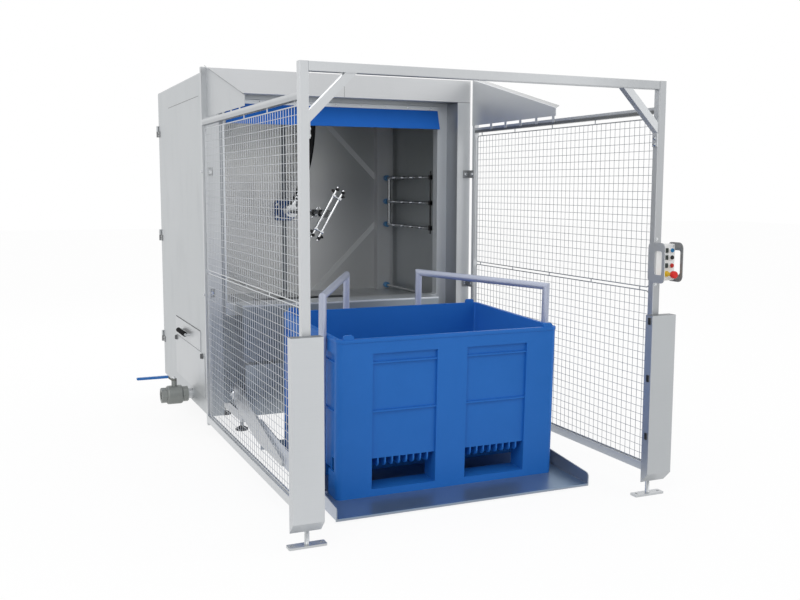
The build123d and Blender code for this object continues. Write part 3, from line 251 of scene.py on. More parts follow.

# painted light and shade: tones multiplied into areas of the sheets, lighter or darker where light falls
# differently
innerFace = (xAside, 0.8772, 0.8764)
rightHalf = (xAcross, 0.05, 0.62)
topRail = [(yBehind, -1.8935, -1.8925), (yBehind, -0.0765, -0.0775), (zUp, 1.8690, 1.8698)]
paintedSheetLight = {
    "panelSteel": [  # painted shade on the inner faces, darker towards the roof
        ((0.84, 0.85, 0.86), [innerFace]),
        ((0.77, 0.775, 0.75), [innerFace, (zUp, 0.9, 1.7)])],
    "jambSteel": [  # painted shade on the faces that run back into the recess, and on the left jamb's lower end
        ((0.50, 0.51, 0.54), [(yBehind, 0.003, 0.012)]),
        ((0.70, 0.74, 0.78), [(xAcross, 0.1, -0.1), (zUp, 0.85, 0.70)])],
    "chamberSteel": [  # painted shade on the right half, darker towards the roof, and painted light on the paler upper end
        ((0.68, 0.69, 0.70), [rightHalf]),
        ((0.72, 0.73, 0.74), [rightHalf, (zUp, 1, 1.6)]),
        ((1.16, 1.16, 1.13), [(zUp, 1.45, 1.75)])],
    "columnSteel": [((1.28, 1.28, 1.26), [(xAside, 0.732, 0.729)])],  # painted light on the slanted stays
    "deckSteel": [  # painted highlight on the bare outer faces, the crate's painted blue reflection on the plate's top, and painted light on the flanges between
        ((1.7, 1.6, 1.5), [(xAside, 0.6818, 0.6826)]),
        ((0.84, 1.02, 1.14), [(xAside, 0.672, 0.668), (offDeck, -0.1635, -0.1605)]),
        ((1.12, 1.10, 1.03), [(xAside, 0.668, 0.672), (xAside, 0.6826, 0.6818)])],
    "recessSteel": [  # painted shade under the roof and down the left side, and a painted highlight on that side's pale lip
        ((0.86, 0.865, 0.87), [(zUp, 1.95, 2.10)]),
        ((0.50, 0.51, 0.53), [(xAcross, -0.726, -0.729)]),
        ((1.25, 1.25, 1.25), [(xAcross, -0.726, -0.724), (xAcross, 0, -0.1)])],
    "wingSteel": [  # painted shade on the slanted top flange and on the left wing
        ((0.76, 0.75, 0.74), [(xAside, 0.8744, 0.8752)]),
        ((0.91, 0.915, 0.92), [(xAcross, 0.5, -0.5)])],
    "lintelSteel": [((0.91, 0.91, 0.91), [(xAcross, -0.7, 0)])],  # painted shade on all but its left end, which stays paler
    "coverSteel": [  # painted shade on the tops and the right cover, painted light on the left cover
        ((0.42, 0.43, 0.44), [(zUp, 0.9070, 0.9079)]),
        ((0.85, 0.86, 0.865), [(xAcross, 0, 0.8)]),
        ((1.06, 1.065, 1.07), [(xAcross, 0, -0.8)])],
    "portalSteel": [  # painted light on the left post, painted shade on the right post's front
        ((1.09, 1.09, 1.09), [(xAcross, -0.4, -0.88)]),
        ((0.72, 0.725, 0.73), [(xAcross, 0.3, 0.88), (yBehind, -1.9330, -1.9338)])],
    "fenceSteel": [  # painted light on the low rails, painted shade on the lower part of the top rails, and deeper under the right one
        ((1.12, 1.12, 1.12), [(zUp, 0.165, 0.160)]),
        ((0.76, 0.77, 0.78), topRail + [(zUp, 1.894, 1.880)]),
        ((0.46, 0.45, 0.43), topRail + [(xAcross, -0.1, 0.1), (zUp, 1.888, 1.884)])],
    "apronSteel": [  # painted shade on the apron under the opening, painted light on the sill on top of it
        ((0.50, 0.55, 0.60), [(zUp, 0.794, 0.786)]),
        ((1.25, 1.28, 1.32), [(zUp, 0.786, 0.794)])],
    "wireSteel": [((0.68, 0.69, 0.70), [(xAcross, 0, 0.2)])],  # painted shade on the right fence
}

# rolled streaks, faint clouds and wiped smears; a noise is its scale, detail and roughness
sheetWear = {"streak": (1, 4, 0.6), "streakShare": 0.45, "cloud": (1.7, 3, 0.5), "cloudShare": 0.55,
             "smear": (2.3, 5, 0.62), "smearRun": (3, 3, 1.1), "smearFrom": (0.48, 0.72),
             "streakGloss": 0.8, "smearGloss": 0.4, "depth": 0.00025, "strength": 0.35}


def satinSheet(name, spec, paintedTones, wear):
    finish = Finish(name)
    streak = finish.place.stretch(*spec["grain"]).noise(*wear["streak"])
    cloud = finish.place.noise(*wear["cloud"])
    smear = finish.place.stretch(*wear["smearRun"]).noise(*wear["smear"]).within(*wear["smearFrom"])
    colour = (streak * wear["streakShare"] + cloud * wear["cloudShare"]).mix(spec["low"], spec["high"])
    # multiplies in the painted light and shade
    for tone, limits in paintedTones:
        colour = areaMask(finish, limits).mix(colour, tone, "MULTIPLY")
    low, high = spec["gloss"]
    dull = streak * (high - low) * wear["streakGloss"] + smear * (high - low) * wear["smearGloss"]
    finish.set(Base_Color=colour, Metallic=spec["metal"], Roughness=dull + low)
    finish.bump(streak, wear["depth"], wear["strength"])
    finishes[name] = finish.material


for sheetName, sheetSpec in satinSheets.items():
    satinSheet(sheetName, sheetSpec, paintedSheetLight.get(sheetName, []), sheetWear)

# polished steel of the spray parts and the duller pipes, some with a dark place: painted shade on the shaft
# and the arm's hub
shaftCore = [(offShaft, 0.0272 ** 2, 0.0262 ** 2)]  # painted shade on the shaft and its rings, inside the nozzles
armHub = [(armAside, 0.0140, 0.0134), (armAlong, 0.032, 0.028)]  # painted shade on the hub between the arm's two tubes
strutEnd = [(yBehind, 0.450, 0.449)]  # the painted strut at the front of the side bars
polishedParts = {
    "brightSteel": {"colour": (0.74, 0.755, 0.77), "dull": (0.55, 0.57, 0.59), "rough": 0.06},
    "shaftSteel": {"colour": (0.74, 0.755, 0.77), "dull": (0.55, 0.57, 0.59), "rough": 0.10,
                   "dark": shaftCore, "tone": (0.085, 0.088, 0.09)},
    "armSteel": {"colour": (0.80, 0.81, 0.82), "dull": (0.62, 0.635, 0.65), "rough": 0.06,
                 "dark": armHub, "tone": (0.085, 0.088, 0.09)},
    "pipeSteel": {"colour": (0.46, 0.475, 0.49), "dull": (0.30, 0.31, 0.32), "rough": 0.18,
                  "dark": strutEnd, "tone": (0.06, 0.062, 0.064)},
}

# water spots and haze
polishWear = {"spots": (160, 2, 0.5), "spotsFrom": (0.60, 0.70), "spotShare": 0.3, "spotGloss": 0.12,
              "haze": (9, 4, 0.6), "hazeShare": 0.6, "hazeGloss": 0.14}


def polishedFinish(name, spec, wear):
    finish = Finish(name)
    spots = finish.place.noise(*wear["spots"]).within(*wear["spotsFrom"])
    haze = finish.place.noise(*wear["haze"])
    colour = (haze * wear["hazeShare"] + spots * wear["spotShare"]).mix(spec["colour"], spec["dull"])
    if "dark" in spec:
        colour = areaMask(finish, spec["dark"]).mix(colour, spec["tone"])
    finish.set(Base_Color=colour, Metallic=1,
               Roughness=haze * wear["hazeGloss"] + spots * wear["spotGloss"] + spec["rough"])
    finishes[name] = finish.material


for partName, partSpec in polishedParts.items():
    polishedFinish(partName, partSpec, polishWear)

# moulded and painted finishes: base colour, second tone, scuffs, gloss and grain, some with a patch
crateInside = [(xAcross, 0.572, 0.576), (xAcross, 0.5835, 0.5815), (zUp, 0.30, 0.40)]  # painted light on the crate's right inner wall
bareEnd = [(xAcross, -1.036, -1.030)]  # the lever's grip is dipped, its inner end stays steel
stopStem = [(yBehind, -1.9995, -1.9985)]  # behind the stop button's head
plainMould = {"grain": 900, "depth": 0.0001, "shine": 0.4}
moulded = {
    "crateBlue": {"base": (0.012, 0.138, 0.50), "tone": (0.022, 0.168, 0.575), "scuff": (0.06, 0.22, 0.56),
                  "rough": 0.42, "depth": 0.0002, "shine": 0.25, "patch": crateInside,
                  "patchTone": (0.03, 0.19, 0.64)},
    "curtainBlue": {"base": (0.008, 0.13, 0.55), "tone": (0.016, 0.16, 0.63), "scuff": (0.04, 0.18, 0.52),
                    "rough": 0.5, "grain": 500, "depth": 0.0002, "shine": 0.2},
    "fittingBlue": {"base": (0.012, 0.11, 0.42), "tone": (0.025, 0.16, 0.52), "scuff": (0.12, 0.28, 0.60),
                    "rough": 0.36, "grain": 700},
    "leverBlue": {"base": (0.02, 0.15, 0.48), "tone": (0.035, 0.19, 0.55), "scuff": (0.16, 0.34, 0.64),
                  "rough": 0.38, "grain": 600, "patch": bareEnd, "patchTone": (0.20, 0.205, 0.19)},
    "couplingBlue": {"base": (0.04, 0.19, 0.46), "tone": (0.09, 0.30, 0.56), "scuff": (0.30, 0.48, 0.66),
                     "rough": 0.34, "grain": 700, "shine": 0.5},
    "driveGrey": {"base": (0.12, 0.135, 0.155), "tone": (0.17, 0.185, 0.205), "scuff": (0.30, 0.31, 0.32),
                  "rough": 0.45, "grain": 420, "depth": 0.0003},
    "motorGrey": {"base": (0.26, 0.29, 0.325), "tone": (0.32, 0.35, 0.385), "scuff": (0.40, 0.42, 0.44),
                  "rough": 0.45, "grain": 420, "depth": 0.0003},
    "latchGrey": {"base": (0.13, 0.135, 0.14), "tone": (0.18, 0.185, 0.19), "scuff": (0.18, 0.18, 0.19),
                  "rough": 0.45, "grain": 800, "depth": 0.0002, "shine": 0.5},
    "seamGrey": {"base": (0.05, 0.052, 0.055), "tone": (0.085, 0.088, 0.092), "scuff": (0.16, 0.16, 0.17),
                 "rough": 0.6, "grain": 300, "shine": 0.2},
    "boxWhite": {"base": (0.86, 0.87, 0.865), "tone": (0.91, 0.915, 0.91), "scuff": (0.74, 0.75, 0.75),
                 "rough": 0.36, "grain": 700, "shine": 0.5},
    "tileBlack": {"base": (0.012, 0.02, 0.018), "tone": (0.03, 0.045, 0.04), "scuff": (0.08, 0.09, 0.09),
                  "rough": 0.2, "grain": 500, "shine": 0.5},
    "padBlack": {"base": (0.018, 0.018, 0.02), "tone": (0.035, 0.035, 0.038), "scuff": (0.12, 0.12, 0.12),
                 "rough": 0.72, "grain": 600, "depth": 0.0004, "shine": 0.3},
    "hoseBlack": {"base": (0.008, 0.008, 0.009), "tone": (0.02, 0.02, 0.022), "scuff": (0.06, 0.06, 0.06),
                  "rough": 0.45, "grain": 500, "depth": 0.0003},
    "gripBlack": {"base": (0.008, 0.008, 0.009), "tone": (0.018, 0.018, 0.019), "scuff": (0.06, 0.06, 0.06),
                  "rough": 0.85, "grain": 700, "depth": 0.0004, "shine": 0.05},
    "capBlue": {"base": (0.012, 0.17, 0.40), "tone": (0.02, 0.22, 0.46), "scuff": (0.2, 0.34, 0.6),
                "rough": 0.26, "shine": 0.5},
    "capBlack": {"base": (0.012, 0.012, 0.012), "tone": (0.03, 0.03, 0.03), "scuff": (0.12, 0.12, 0.12),
                 "rough": 0.36},
    "stopRed": {"base": (0.66, 0.012, 0.008), "tone": (0.74, 0.02, 0.012), "scuff": (0.72, 0.14, 0.10),
                "rough": 0.30, "patch": stopStem, "patchTone": (0.78, 0.50, 0.02)},
    "capRed": {"base": (0.52, 0.015, 0.012), "tone": (0.62, 0.025, 0.02), "scuff": (0.66, 0.20, 0.16),
               "rough": 0.26, "shine": 0.5},
    "collarYellow": {"base": (0.78, 0.50, 0.02), "tone": (0.86, 0.60, 0.03), "scuff": (0.6, 0.45, 0.12),
                     "rough": 0.35, "shine": 0.5},
}

# clouds in the colour, fine grain and scratches
mouldWear = {"cloud": (4, 4, 0.6), "cloudGloss": 0.12, "grain": (2, 0.5), "grainStrength": 0.5,
             "scratch": (4, 6, 0.7), "scratchRun": (40, 40, 6), "scratchFrom": (0.66, 0.74),
             "scratchShare": 0.35, "scratchGloss": 0.15, "glossShift": 0.04}


def mouldedFinish(name, spec, wear):
    finish = Finish(name)
    cloud = finish.place.noise(*wear["cloud"])
    grain = finish.place.noise(spec["grain"], *wear["grain"])
    scratch = finish.place.stretch(*wear["scratchRun"]).noise(*wear["scratch"]).within(*wear["scratchFrom"])
    colour = (scratch * wear["scratchShare"]).mix(cloud.mix(spec["base"], spec["tone"]), spec["scuff"])
    if "patch" in spec:
        colour = areaMask(finish, spec["patch"]).mix(colour, spec["patchTone"])
    dull = cloud * wear["cloudGloss"] + scratch * wear["scratchGloss"]
    finish.set(Base_Color=colour, Specular_IOR_Level=spec["shine"],
               Roughness=dull + (spec["rough"] - wear["glossShift"]))
    finish.bump(grain, spec["depth"], wear["grainStrength"])
    finishes[name] = finish.material


for mouldName, mouldSpec in moulded.items():
    mouldedFinish(mouldName, {**plainMould, **mouldSpec}, mouldWear)
print("finishes made:", len(finishes))

nodeFinish = {
    "cabinetSteel": ["roof_panel", "chamber_floor", "wash_tank", "lower_hatch", "filter_drawer",
                     "service_door", "drain_pipe"],
    "lowerSteel": ["lower_front_panel"],
    "lintelSteel": ["front_lintel"],
    "wingSteel": ["wing_plates"],
    "coverSteel": ["light_curtain_covers"],
    "apronSteel": ["sill_plate"],
    "panelSteel": ["left_side_panel", "right_side_panel"],
    "jambSteel": ["door_jambs"],
    "chamberSteel": ["chamber_rear_wall"],
    "columnSteel": ["rear_wall_frame"],
    "recessSteel": ["inner_frame", "curtain_clamp"],
    "frameSteel": ["base_frame", "control_bracket", "cradle_arms", "portal_feet"],
    "portalSteel": ["portal_posts", "portal_beam", "knee_braces"],
    "fenceSteel": ["left_fence_frame", "right_fence_frame"],
    "clampSteel": ["fence_clamps"],
    "wireSteel": ["left_mesh_panels", "right_mesh_panels"],
    "deckSteel": ["platform_deck"],
    "hoopSteel": ["cradle_hoops"],
    "brightSteel": ["rotary_union", "tilt_shaft"],
    "shaftSteel": ["spray_shaft"],
    "armSteel": ["spray_arm"],
    "pipeSteel": ["side_spray_pipes"],
    "valveSteel": ["drain_valve"],
    "guardSteel": ["control_guard", "rear_hinges"],
    "driveGrey": ["tilt_bearings", "wash_pump"],
    "motorGrey": ["tilt_gearmotor"],
    "crateBlue": ["crate"],
    "curtainBlue": ["splash_curtain"],
    "fittingBlue": ["bearing_housing"],
    "couplingBlue": ["pipe_couplings"],
    "hoseBlack": ["feed_hose"],
    "padBlack": ["levelling_feet"],
    "leverBlue": ["valve_lever"],
    "boxWhite": ["control_box"],
    "latchGrey": ["front_latch", "rear_latch"],
    "tileBlack": ["indicator_tiles"],
    "capBlue": ["blue_button"],
    "capBlack": ["black_button"],
    "capRed": ["red_button"],
    "stopRed": ["e_stop_button"],
    "collarYellow": ["e_stop_collar"],
}
for finishName, nodeNames in nodeFinish.items():
    for nodeName in nodeNames:
        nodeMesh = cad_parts[nodeName].data
        nodeMesh.materials.clear()
        nodeMesh.materials.append(finishes[finishName])
print("solids finished:", sum(len(names) for names in nodeFinish.values()))


def aim(start, end):  # matrix and length of a bar between two points
    start, end = Vector(start), Vector(end)
    way = end - start
    turned = way.to_track_quat("Z", "Y").to_matrix().to_4x4()
    return Matrix.Translation((start + end) / 2) @ turned, way.length


def bar(bm, start, end, radius, sides, endRadius=None):
    matrix, length = aim(start, end)
    far = radius if endRadius is None else endRadius
    bmesh.ops.create_cone(bm, cap_ends=True, segments=sides, radius1=radius, radius2=far, depth=length,
                          matrix=matrix)


def slab(bm, low, high):  # box between two corners
    low, high = Vector(low), Vector(high)
    matrix = Matrix.Translation((low + high) / 2) @ Matrix.Diagonal((*(high - low), 1))
    return bmesh.ops.create_cube(bm, size=1, matrix=matrix)["verts"]


def block(bm, x, y, z):  # box from its ranges in millimetres
    return slab(bm, spot(x[0], y[0], z[0]), spot(x[1], y[1], z[1]))


def bevelEdges(bm, edges, width, segments=2, clamp=False):
    bmesh.ops.bevel(bm, geom=list(edges), offset=width, segments=segments, affect="EDGES", profile=0.5,
                    material=-1, clamp_overlap=clamp)


def soften(bm, verts, width, segments=2):
    bevelEdges(bm, {edge for vert in verts for edge in vert.link_edges}, width, segments, clamp=True)


def tube(bm, centre, axis, outer, inner, length, sides=32):  # short pipe, open through the middle
    centre, axis = Vector(centre), Vector(axis).normalized()
    turned = axis.to_track_quat("Z", "Y").to_matrix().to_4x4()
    rings = []
    for radius, end in ((outer, 0.5), (outer, -0.5), (inner, -0.5), (inner, 0.5)):
        matrix = Matrix.Translation(centre + axis * length * end) @ turned
        made = bmesh.ops.create_circle(bm, cap_ends=False, segments=sides, radius=radius, matrix=matrix)
        rings.append({edge for vert in made["verts"] for edge in vert.link_edges})
    for first, second in zip(rings, rings[1:] + rings[:1]):
        bmesh.ops.bridge_loops(bm, edges=list(first | second))
    bmesh.ops.recalc_face_normals(bm, faces=bm.faces)


# heads of bolts and screws: each stage's top, foot and end radius as shares of the head's radius, and sides
nutSides = 6
roundSides = 16
washerSides = 20
washerTop = 0.22
hexStages = {"head": (0.95, 1, 1, nutSides), "chamfer": (1.1, 0.98, 0.8, nutSides)}
domeStages = {"rim": (0.3, 1, 1, roundSides), "dome": (0.6, 1, 0.62, roundSides),
              "drive": (0.68, 0.42, 0.36, nutSides)}


def addStages(bm, seat, out, low, stages, radius):
    for top, foot, end, sides in stages.values():
        bar(bm, seat + out * low, seat + out * top, radius * foot, sides, radius * end)
        low = top


def hexBolt(bm, seat, out, radius, washer=1.5):  # washer, six-sided head and its chamfer
    seat, out = Vector(seat), Vector(out).normalized() * radius
    bar(bm, seat, seat + out * washerTop, radius * washer, washerSides)
    addStages(bm, seat, out, washerTop, hexStages, radius)


def domeScrew(bm, seat, out, radius):  # low rounded head with a six-sided drive
    addStages(bm, Vector(seat), Vector(out).normalized() * radius, 0, domeStages, radius)


def addHeads(bm, kind, group, sides=(1,)):  # a bolt or screw at each place of a group, mirrored for side -1
    outX, outY, outZ = group["out"]
    for side in sides:
        for x in group["x"]:
            for y in group["y"]:
                for z in group["z"]:
                    kind(bm, spot(side * x, y, z), (side * outX, outY, outZ), **group["head"])


def addPiece(name, bm, body, look, sharp=30):
    mesh = bpy.data.meshes.new(name)
    bm.to_mesh(mesh)
    bm.free()
    mesh.shade_smooth()
    mesh.set_sharp_from_angle(angle=math.radians(sharp))
    mesh.materials.append(finishes[look])
    piece = bpy.data.objects.new(name, mesh)
    bpy.context.scene.collection.objects.link(piece)
    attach(piece, body)
    return piece


def makeHeads(name, body, kind, group):  # a piece of one group alone
    bm = bmesh.new()
    addHeads(bm, kind, group)
    addPiece(name, bm, body, "brightSteel")


def makeBlocks(name, look, blocks, edge=0, segments=2):  # a piece of plain blocks with soft edges
    bm = bmesh.new()
    for ranges in blocks:
        verts = block(bm, **ranges)
        if edge:
            soften(bm, verts, edge, segments)
    addPiece(name, bm, "machine", look)


def pairedBlocks(spec):  # the same block at each height on both sides
    return [{"x": sorted(side * x for x in spec["x"]), "y": spec["y"],
             "z": (z - spec["half"], z + spec["half"])} for side in (-1, 1) for z in spec["z"]]


# splash curtain: a rubber sheet under the clamp bar, leaning out and gently waved
curtainSpec = {"half": 0.716, "top": 2.048, "bend": 2.020, "low": 1.898, "back": 157, "thick": 0.004,
               "lean": 0.036, "leanCurve": 1.15, "columns": 120, "rows": 16, "wave": 0.0022, "waves": 7,
               "smallWave": 0.45, "smallWaves": 5.3, "smallShift": 0.7, "sway": 0.6, "lift": 0.35}


def makeCurtain(spec):
    bm = bmesh.new()
    bmesh.ops.create_grid(bm, x_segments=spec["columns"], y_segments=spec["rows"], size=1)
    hangY = spot(0, spec["back"], 0).y
    drop = spec["top"] - spec["low"]
    for vert in bm.verts:
        across, down = vert.co.x, (1 - vert.co.y) / 2
        z = spec["top"] - drop * down
        free = max(0, (spec["bend"] - z) / (spec["bend"] - spec["low"]))
        phase = across * spec["waves"]
        ripple = math.sin(phase * math.pi)
        ripple += spec["smallWave"] * math.sin(phase * spec["smallWaves"] + spec["smallShift"])
        sag = spec["wave"] * free * free * ripple
        lean = spec["lean"] * free ** spec["leanCurve"]
        vert.co = Vector((midX + spec["half"] * across, hangY - lean + sag * spec["sway"],
                          z + spec["lift"] * abs(sag)))
    bmesh.ops.recalc_face_normals(bm, faces=bm.faces)
    bmesh.ops.solidify(bm, geom=bm.faces[:], thickness=spec["thick"])
    bmesh.ops.recalc_face_normals(bm, faces=bm.faces)
    curtain = addPiece("splashCurtain", bm, "machine", "curtainBlue", sharp=60)
    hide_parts("splash_curtain")
    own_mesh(curtain)


makeCurtain(curtainSpec)

# the hose's gland under the roof, and two band clips with their screw blocks near its lower end
clipSpec = {"gland": [{"drop": 0.012, "outer": 0.045, "inner": 0.0258, "length": 0.024},
                      {"drop": 0.045, "outer": 0.031, "inner": 0.0254, "length": 0.014}],
            "back": (0.018, 0.042), "band": {"outer": 0.0285, "inner": 0.0252, "length": 0.013},
            "screwOut": 0.030, "screwHalf": Vector((0.010, 0.006, 0.006)), "edge": 0.002}


def makeHoseClips(route, spec):
    bm = bmesh.new()
    for ring in spec["gland"]:
        centre = route[0] - Vector((0, 0, ring["drop"]))
        tube(bm, centre, (0, 0, 1), ring["outer"], ring["inner"], ring["length"])
    last = (route[-1] - route[-2]).normalized()
    for back in spec["back"]:
        tube(bm, route[-1] - last * back, last, **spec["band"])
    for back in spec["back"]:
        seat = route[-1] - last * back - Vector((0, spec["screwOut"], 0))
        soften(bm, slab(bm, seat - spec["screwHalf"], seat + spec["screwHalf"]), spec["edge"])
    return addPiece("hoseClips", bm, "machine", "brightSteel", sharp=38)


# feed hose: hangs from the roof to the rotary union
hoseSpec = {"radius": 0.025, "depth": 1150, "length": 0.772, "smooth": 14, "round": 7,
            "route": [(175, 2176), (175, 2030), (171, 1900), (153, 1760), (122, 1630),
                      (84, 1520), (40, 1424)]}


def makeHose(spec):
    route = [spot(x, spec["depth"], z) for x, z in spec["route"]]
    curve = bpy.data.curves.new("feedHose", "CURVE")
    curve.dimensions = "3D"
    spline = curve.splines.new("NURBS")
    spline.points.add(len(route) - 1)
    for point, place in zip(spline.points, route):
        point.co = (*place, 1)
    spline.order_u = 3
    spline.use_endpoint_u = True
    curve.resolution_u = spec["smooth"]
    curve.bevel_depth = spec["radius"]
    curve.bevel_resolution = spec["round"]
    curve.materials.append(finishes["hoseBlack"])
    hose = bpy.data.objects.new("feedHose", curve)
    bpy.context.scene.collection.objects.link(hose)
    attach(hose, "machine")
    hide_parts("feed_hose")
    clips = makeHoseClips(route, clipSpec)


makeHose(hoseSpec)
print("curtain and hose made")

# fence panels: round welded wires inside a bent border, with links to the rails
wireSpec = {"front": -1884, "rear": -85, "panels": [(158, 1019), (1030.5, 1852)], "along": 40,
            "up": 39, "plane": 889, "radius": 0.0013, "layer": 1.45, "sides": 6, "border": 0.003,
            "borderSides": 8, "corner": 24, "inset": 3.5, "links": 5, "linkFirst": -1805,
            "linkPitch": 414, "rail": 1870}


def borderPoints(x, y, z, corner, steps=5):  # rounded rectangle in an upright plane
    points = []
    middles = [(y[1] - corner, z[1] - corner), (y[0] + corner, z[1] - corner),
               (y[0] + corner, z[0] + corner), (y[1] - corner, z[0] + corner)]
    for quarter, (cy, cz) in enumerate(middles):
        for step in range(steps + 1):
            angle = math.pi / 2 * (quarter + step / steps)
            points.append(spot(x, cy + corner * math.cos(angle), cz + corner * math.sin(angle)))
    return points


def makeFenceWires(side, name, node, spec):
    bm = bmesh.new()
    plane, inset = side * spec["plane"], spec["inset"]
    front, rear = spec["front"], spec["rear"]
    uprights = round((rear - front) / spec["along"])
    for low, high in spec["panels"]:
        border = borderPoints(plane, (front + inset, rear - inset), (low + inset, high - inset),
                              spec["corner"])
        for start, end in zip(border, border[1:] + border[:1]):
            bar(bm, start, end, spec["border"], spec["borderSides"])
        x = plane + side * spec["layer"]
        for wire in range(1, uprights):
            y = front + (rear - front) * wire / uprights
            bar(bm, spot(x, y, low + inset), spot(x, y, high - inset), spec["radius"], spec["sides"])
        x = plane - side * spec["layer"]
        levels = round((high - low) / spec["up"])
        for wire in range(1, levels):
            z = low + (high - low) * wire / levels
            bar(bm, spot(x, front + inset, z), spot(x, rear - inset, z), spec["radius"], spec["sides"])
    lower, upper = spec["panels"]
    for low, high in ((lower[1] - inset, upper[0] + inset), (upper[1] - inset, spec["rail"])):
        for link in range(spec["links"]):
            y = spec["linkFirst"] + spec["linkPitch"] * link
            bar(bm, spot(plane, y, low), spot(plane, y, high), spec["border"], spec["borderSides"])
    wires = addPiece(name, bm, "machine", "wireSteel", sharp=50)
    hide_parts(node)


makeFenceWires(-1, "leftFenceWires", "left_mesh_panels", wireSpec)
makeFenceWires(1, "rightFenceWires", "right_mesh_panels", wireSpec)
print("fence wires made")

# bolts of the fence clamps, knee braces, tilt bearings and shaft housing on both sides, and of the station
clampZ = (1604, 886)
clampHead = {"radius": 0.0075}
pairedBolts = {
    "clampInside": {"x": [868], "y": [-60], "z": clampZ, "out": (-1, 0, 0), "head": clampHead},
    "clampFront": {"x": [849], "y": [-5], "z": clampZ, "out": (0, -1, 0), "head": clampHead},
    "clampOutside": {"x": [904], "y": [-60], "z": clampZ, "out": (1, 0, 0), "head": clampHead},
    "brace": {"x": [864], "y": [-1914], "z": (1724, 1752), "out": (-1, 0, 0),
              "head": {"radius": 0.0065, "washer": 1.4}},
    "bearing": {"x": [640], "y": (43, 147), "z": [219], "out": (0, 0, 1),
                "head": {"radius": 0.009}},
    "housing": {"x": [58], "y": [1296], "z": (1300, 1384), "out": (0, -1, 0),
                "head": {"radius": 0.008}},
}
stationBolts = {"x": [880], "y": [-1934], "z": (1273, 1054), "out": (0, -1, 0),
                "head": {"radius": 0.006, "washer": 1.4}}

# screws of the curtain's clamp bar, and of the hinges on the cabinet and on the rear door
hingeZ = (1912, 1165, 418)
hingeHead = {"radius": 0.0055}
curtainScrews = {"x": [165 * step for step in range(-4, 5)], "y": [146], "z": [2034],
                 "out": (0, -1, 0), "head": {"radius": 0.006}}
hingeScrews = {"x": [-886], "y": [1462], "z": [z - down for z in hingeZ for down in (10, 30)],
               "out": (-1, 0, 0), "head": hingeHead}
doorScrews = {"x": (-846, -828), "y": [1506], "z": [z + 20 for z in hingeZ], "out": (0, 1, 0),
              "head": hingeHead}
bm = bmesh.new()
for boltGroup in pairedBolts.values():
    addHeads(bm, hexBolt, boltGroup, sides=(-1, 1))
addHeads(bm, hexBolt, stationBolts)
addHeads(bm, domeScrew, curtainScrews)
addHeads(bm, domeScrew, hingeScrews)
addPiece("machineBolts", bm, "machine", "brightSteel")
makeHeads("doorScrews", "rear_door", domeScrew, doorScrews)

# wing plates: sheets over the fences, with tabs down to the top rails and a slanted top flange
wingSpec = {"x": (871, 874), "rear": -45, "top": 2207, "low": 1917, "tabLow": 1882,
            "tabHalf": 12, "tabs": (-296, -476, -652, -831, -1011), "flangeOut": 894,
            "flangeRear": -122, "flangeRise": 0.65, "thick": 3,
            "front": {-1: (-930, 1970), 1: (-1036, 1957)}}


def makeWings(spec):
    bm = bmesh.new()
    inner, outer = spec["x"]
    rearY = spot(0, spec["rear"], 0).y
    middleZ = spot(0, 0, (spec["low"] + spec["top"]) / 2).z
    for side, (front, frontTop) in spec["front"].items():
        across = sorted((side * inner, side * outer))
        slope = (spec["top"] - frontTop) / (spec["rear"] - front)
        for vert in block(bm, across, (front, spec["rear"]), (spec["low"], spec["top"])):
            if vert.co.z > middleZ:
                vert.co.z -= slope * (rearY - vert.co.y)
        for y in spec["tabs"]:
            if y > front:
                block(bm, across, (y - spec["tabHalf"], y + spec["tabHalf"]), (spec["tabLow"], spec["low"]))
        flangeX = sorted((side * inner, side * spec["flangeOut"]))
        flangeZ = (spec["top"], spec["top"] + spec["thick"])
        for vert in block(bm, flangeX, (front, spec["flangeRear"]), flangeZ):
            out = abs(vert.co.x - midX) - inner / 1000
            vert.co.z += spec["flangeRise"] * out - slope * (rearY - vert.co.y)
    wings = addPiece("wingSheets", bm, "machine", "wingSteel")
    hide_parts("wing_plates")


makeWings(wingSpec)

# skirt under the sill's apron, in front of the tilt drive, with the apron's painted shade
skirtSpec = {"x": (-655, 655), "y": (-23, -20), "z": (120, 436)}
makeBlocks("frontSkirt", "apronSteel", [skirtSpec], edge=0.001)

# flat post on the rear wall, above and below the spray shaft's bearing
postSpec = {"above": {"x": (-13, 17), "y": (1309, 1320), "z": (1417, 2175)},
            "below": {"x": (-13, 17), "y": (1309, 1320), "z": (727, 1267)}}
makeBlocks("bearingPost", "motorGrey", postSpec.values(), edge=0.002)

# weld beads of the portal frame: beam to post, and the knee brace to post and beam
weldSpec = {"post": 869, "front": -1934, "beamZ": (1980, 2020), "gap": 3, "beamBead": 0.00154,
            "braceFront": -1932, "braceZ": (1774, 1824), "run": 156, "length": 50,
            "bead": 0.0022, "sides": 8}


def makeWelds(spec):
    bm = bmesh.new()
    low, high = spec["beamZ"]
    front, braceFront = spec["front"], spec["braceFront"]
    for side in (-1, 1):
        post, inner = side * spec["post"], side * (spec["post"] - spec["run"])
        beamEnds = [spot(post, front, z) for z in (low + spec["gap"], high - spec["gap"])]
        bar(bm, *beamEnds, spec["beamBead"], spec["sides"])
        postEnds = [spot(post, braceFront, z) for z in spec["braceZ"]]
        bar(bm, *postEnds, spec["bead"], spec["sides"])
        kneeEnds = [spot(x, braceFront, low) for x in (inner, inner - side * spec["length"])]
        bar(bm, *kneeEnds, spec["bead"], spec["sides"])
    addPiece("portalWelds", bm, "machine", "portalSteel", sharp=60)


makeWelds(weldSpec)

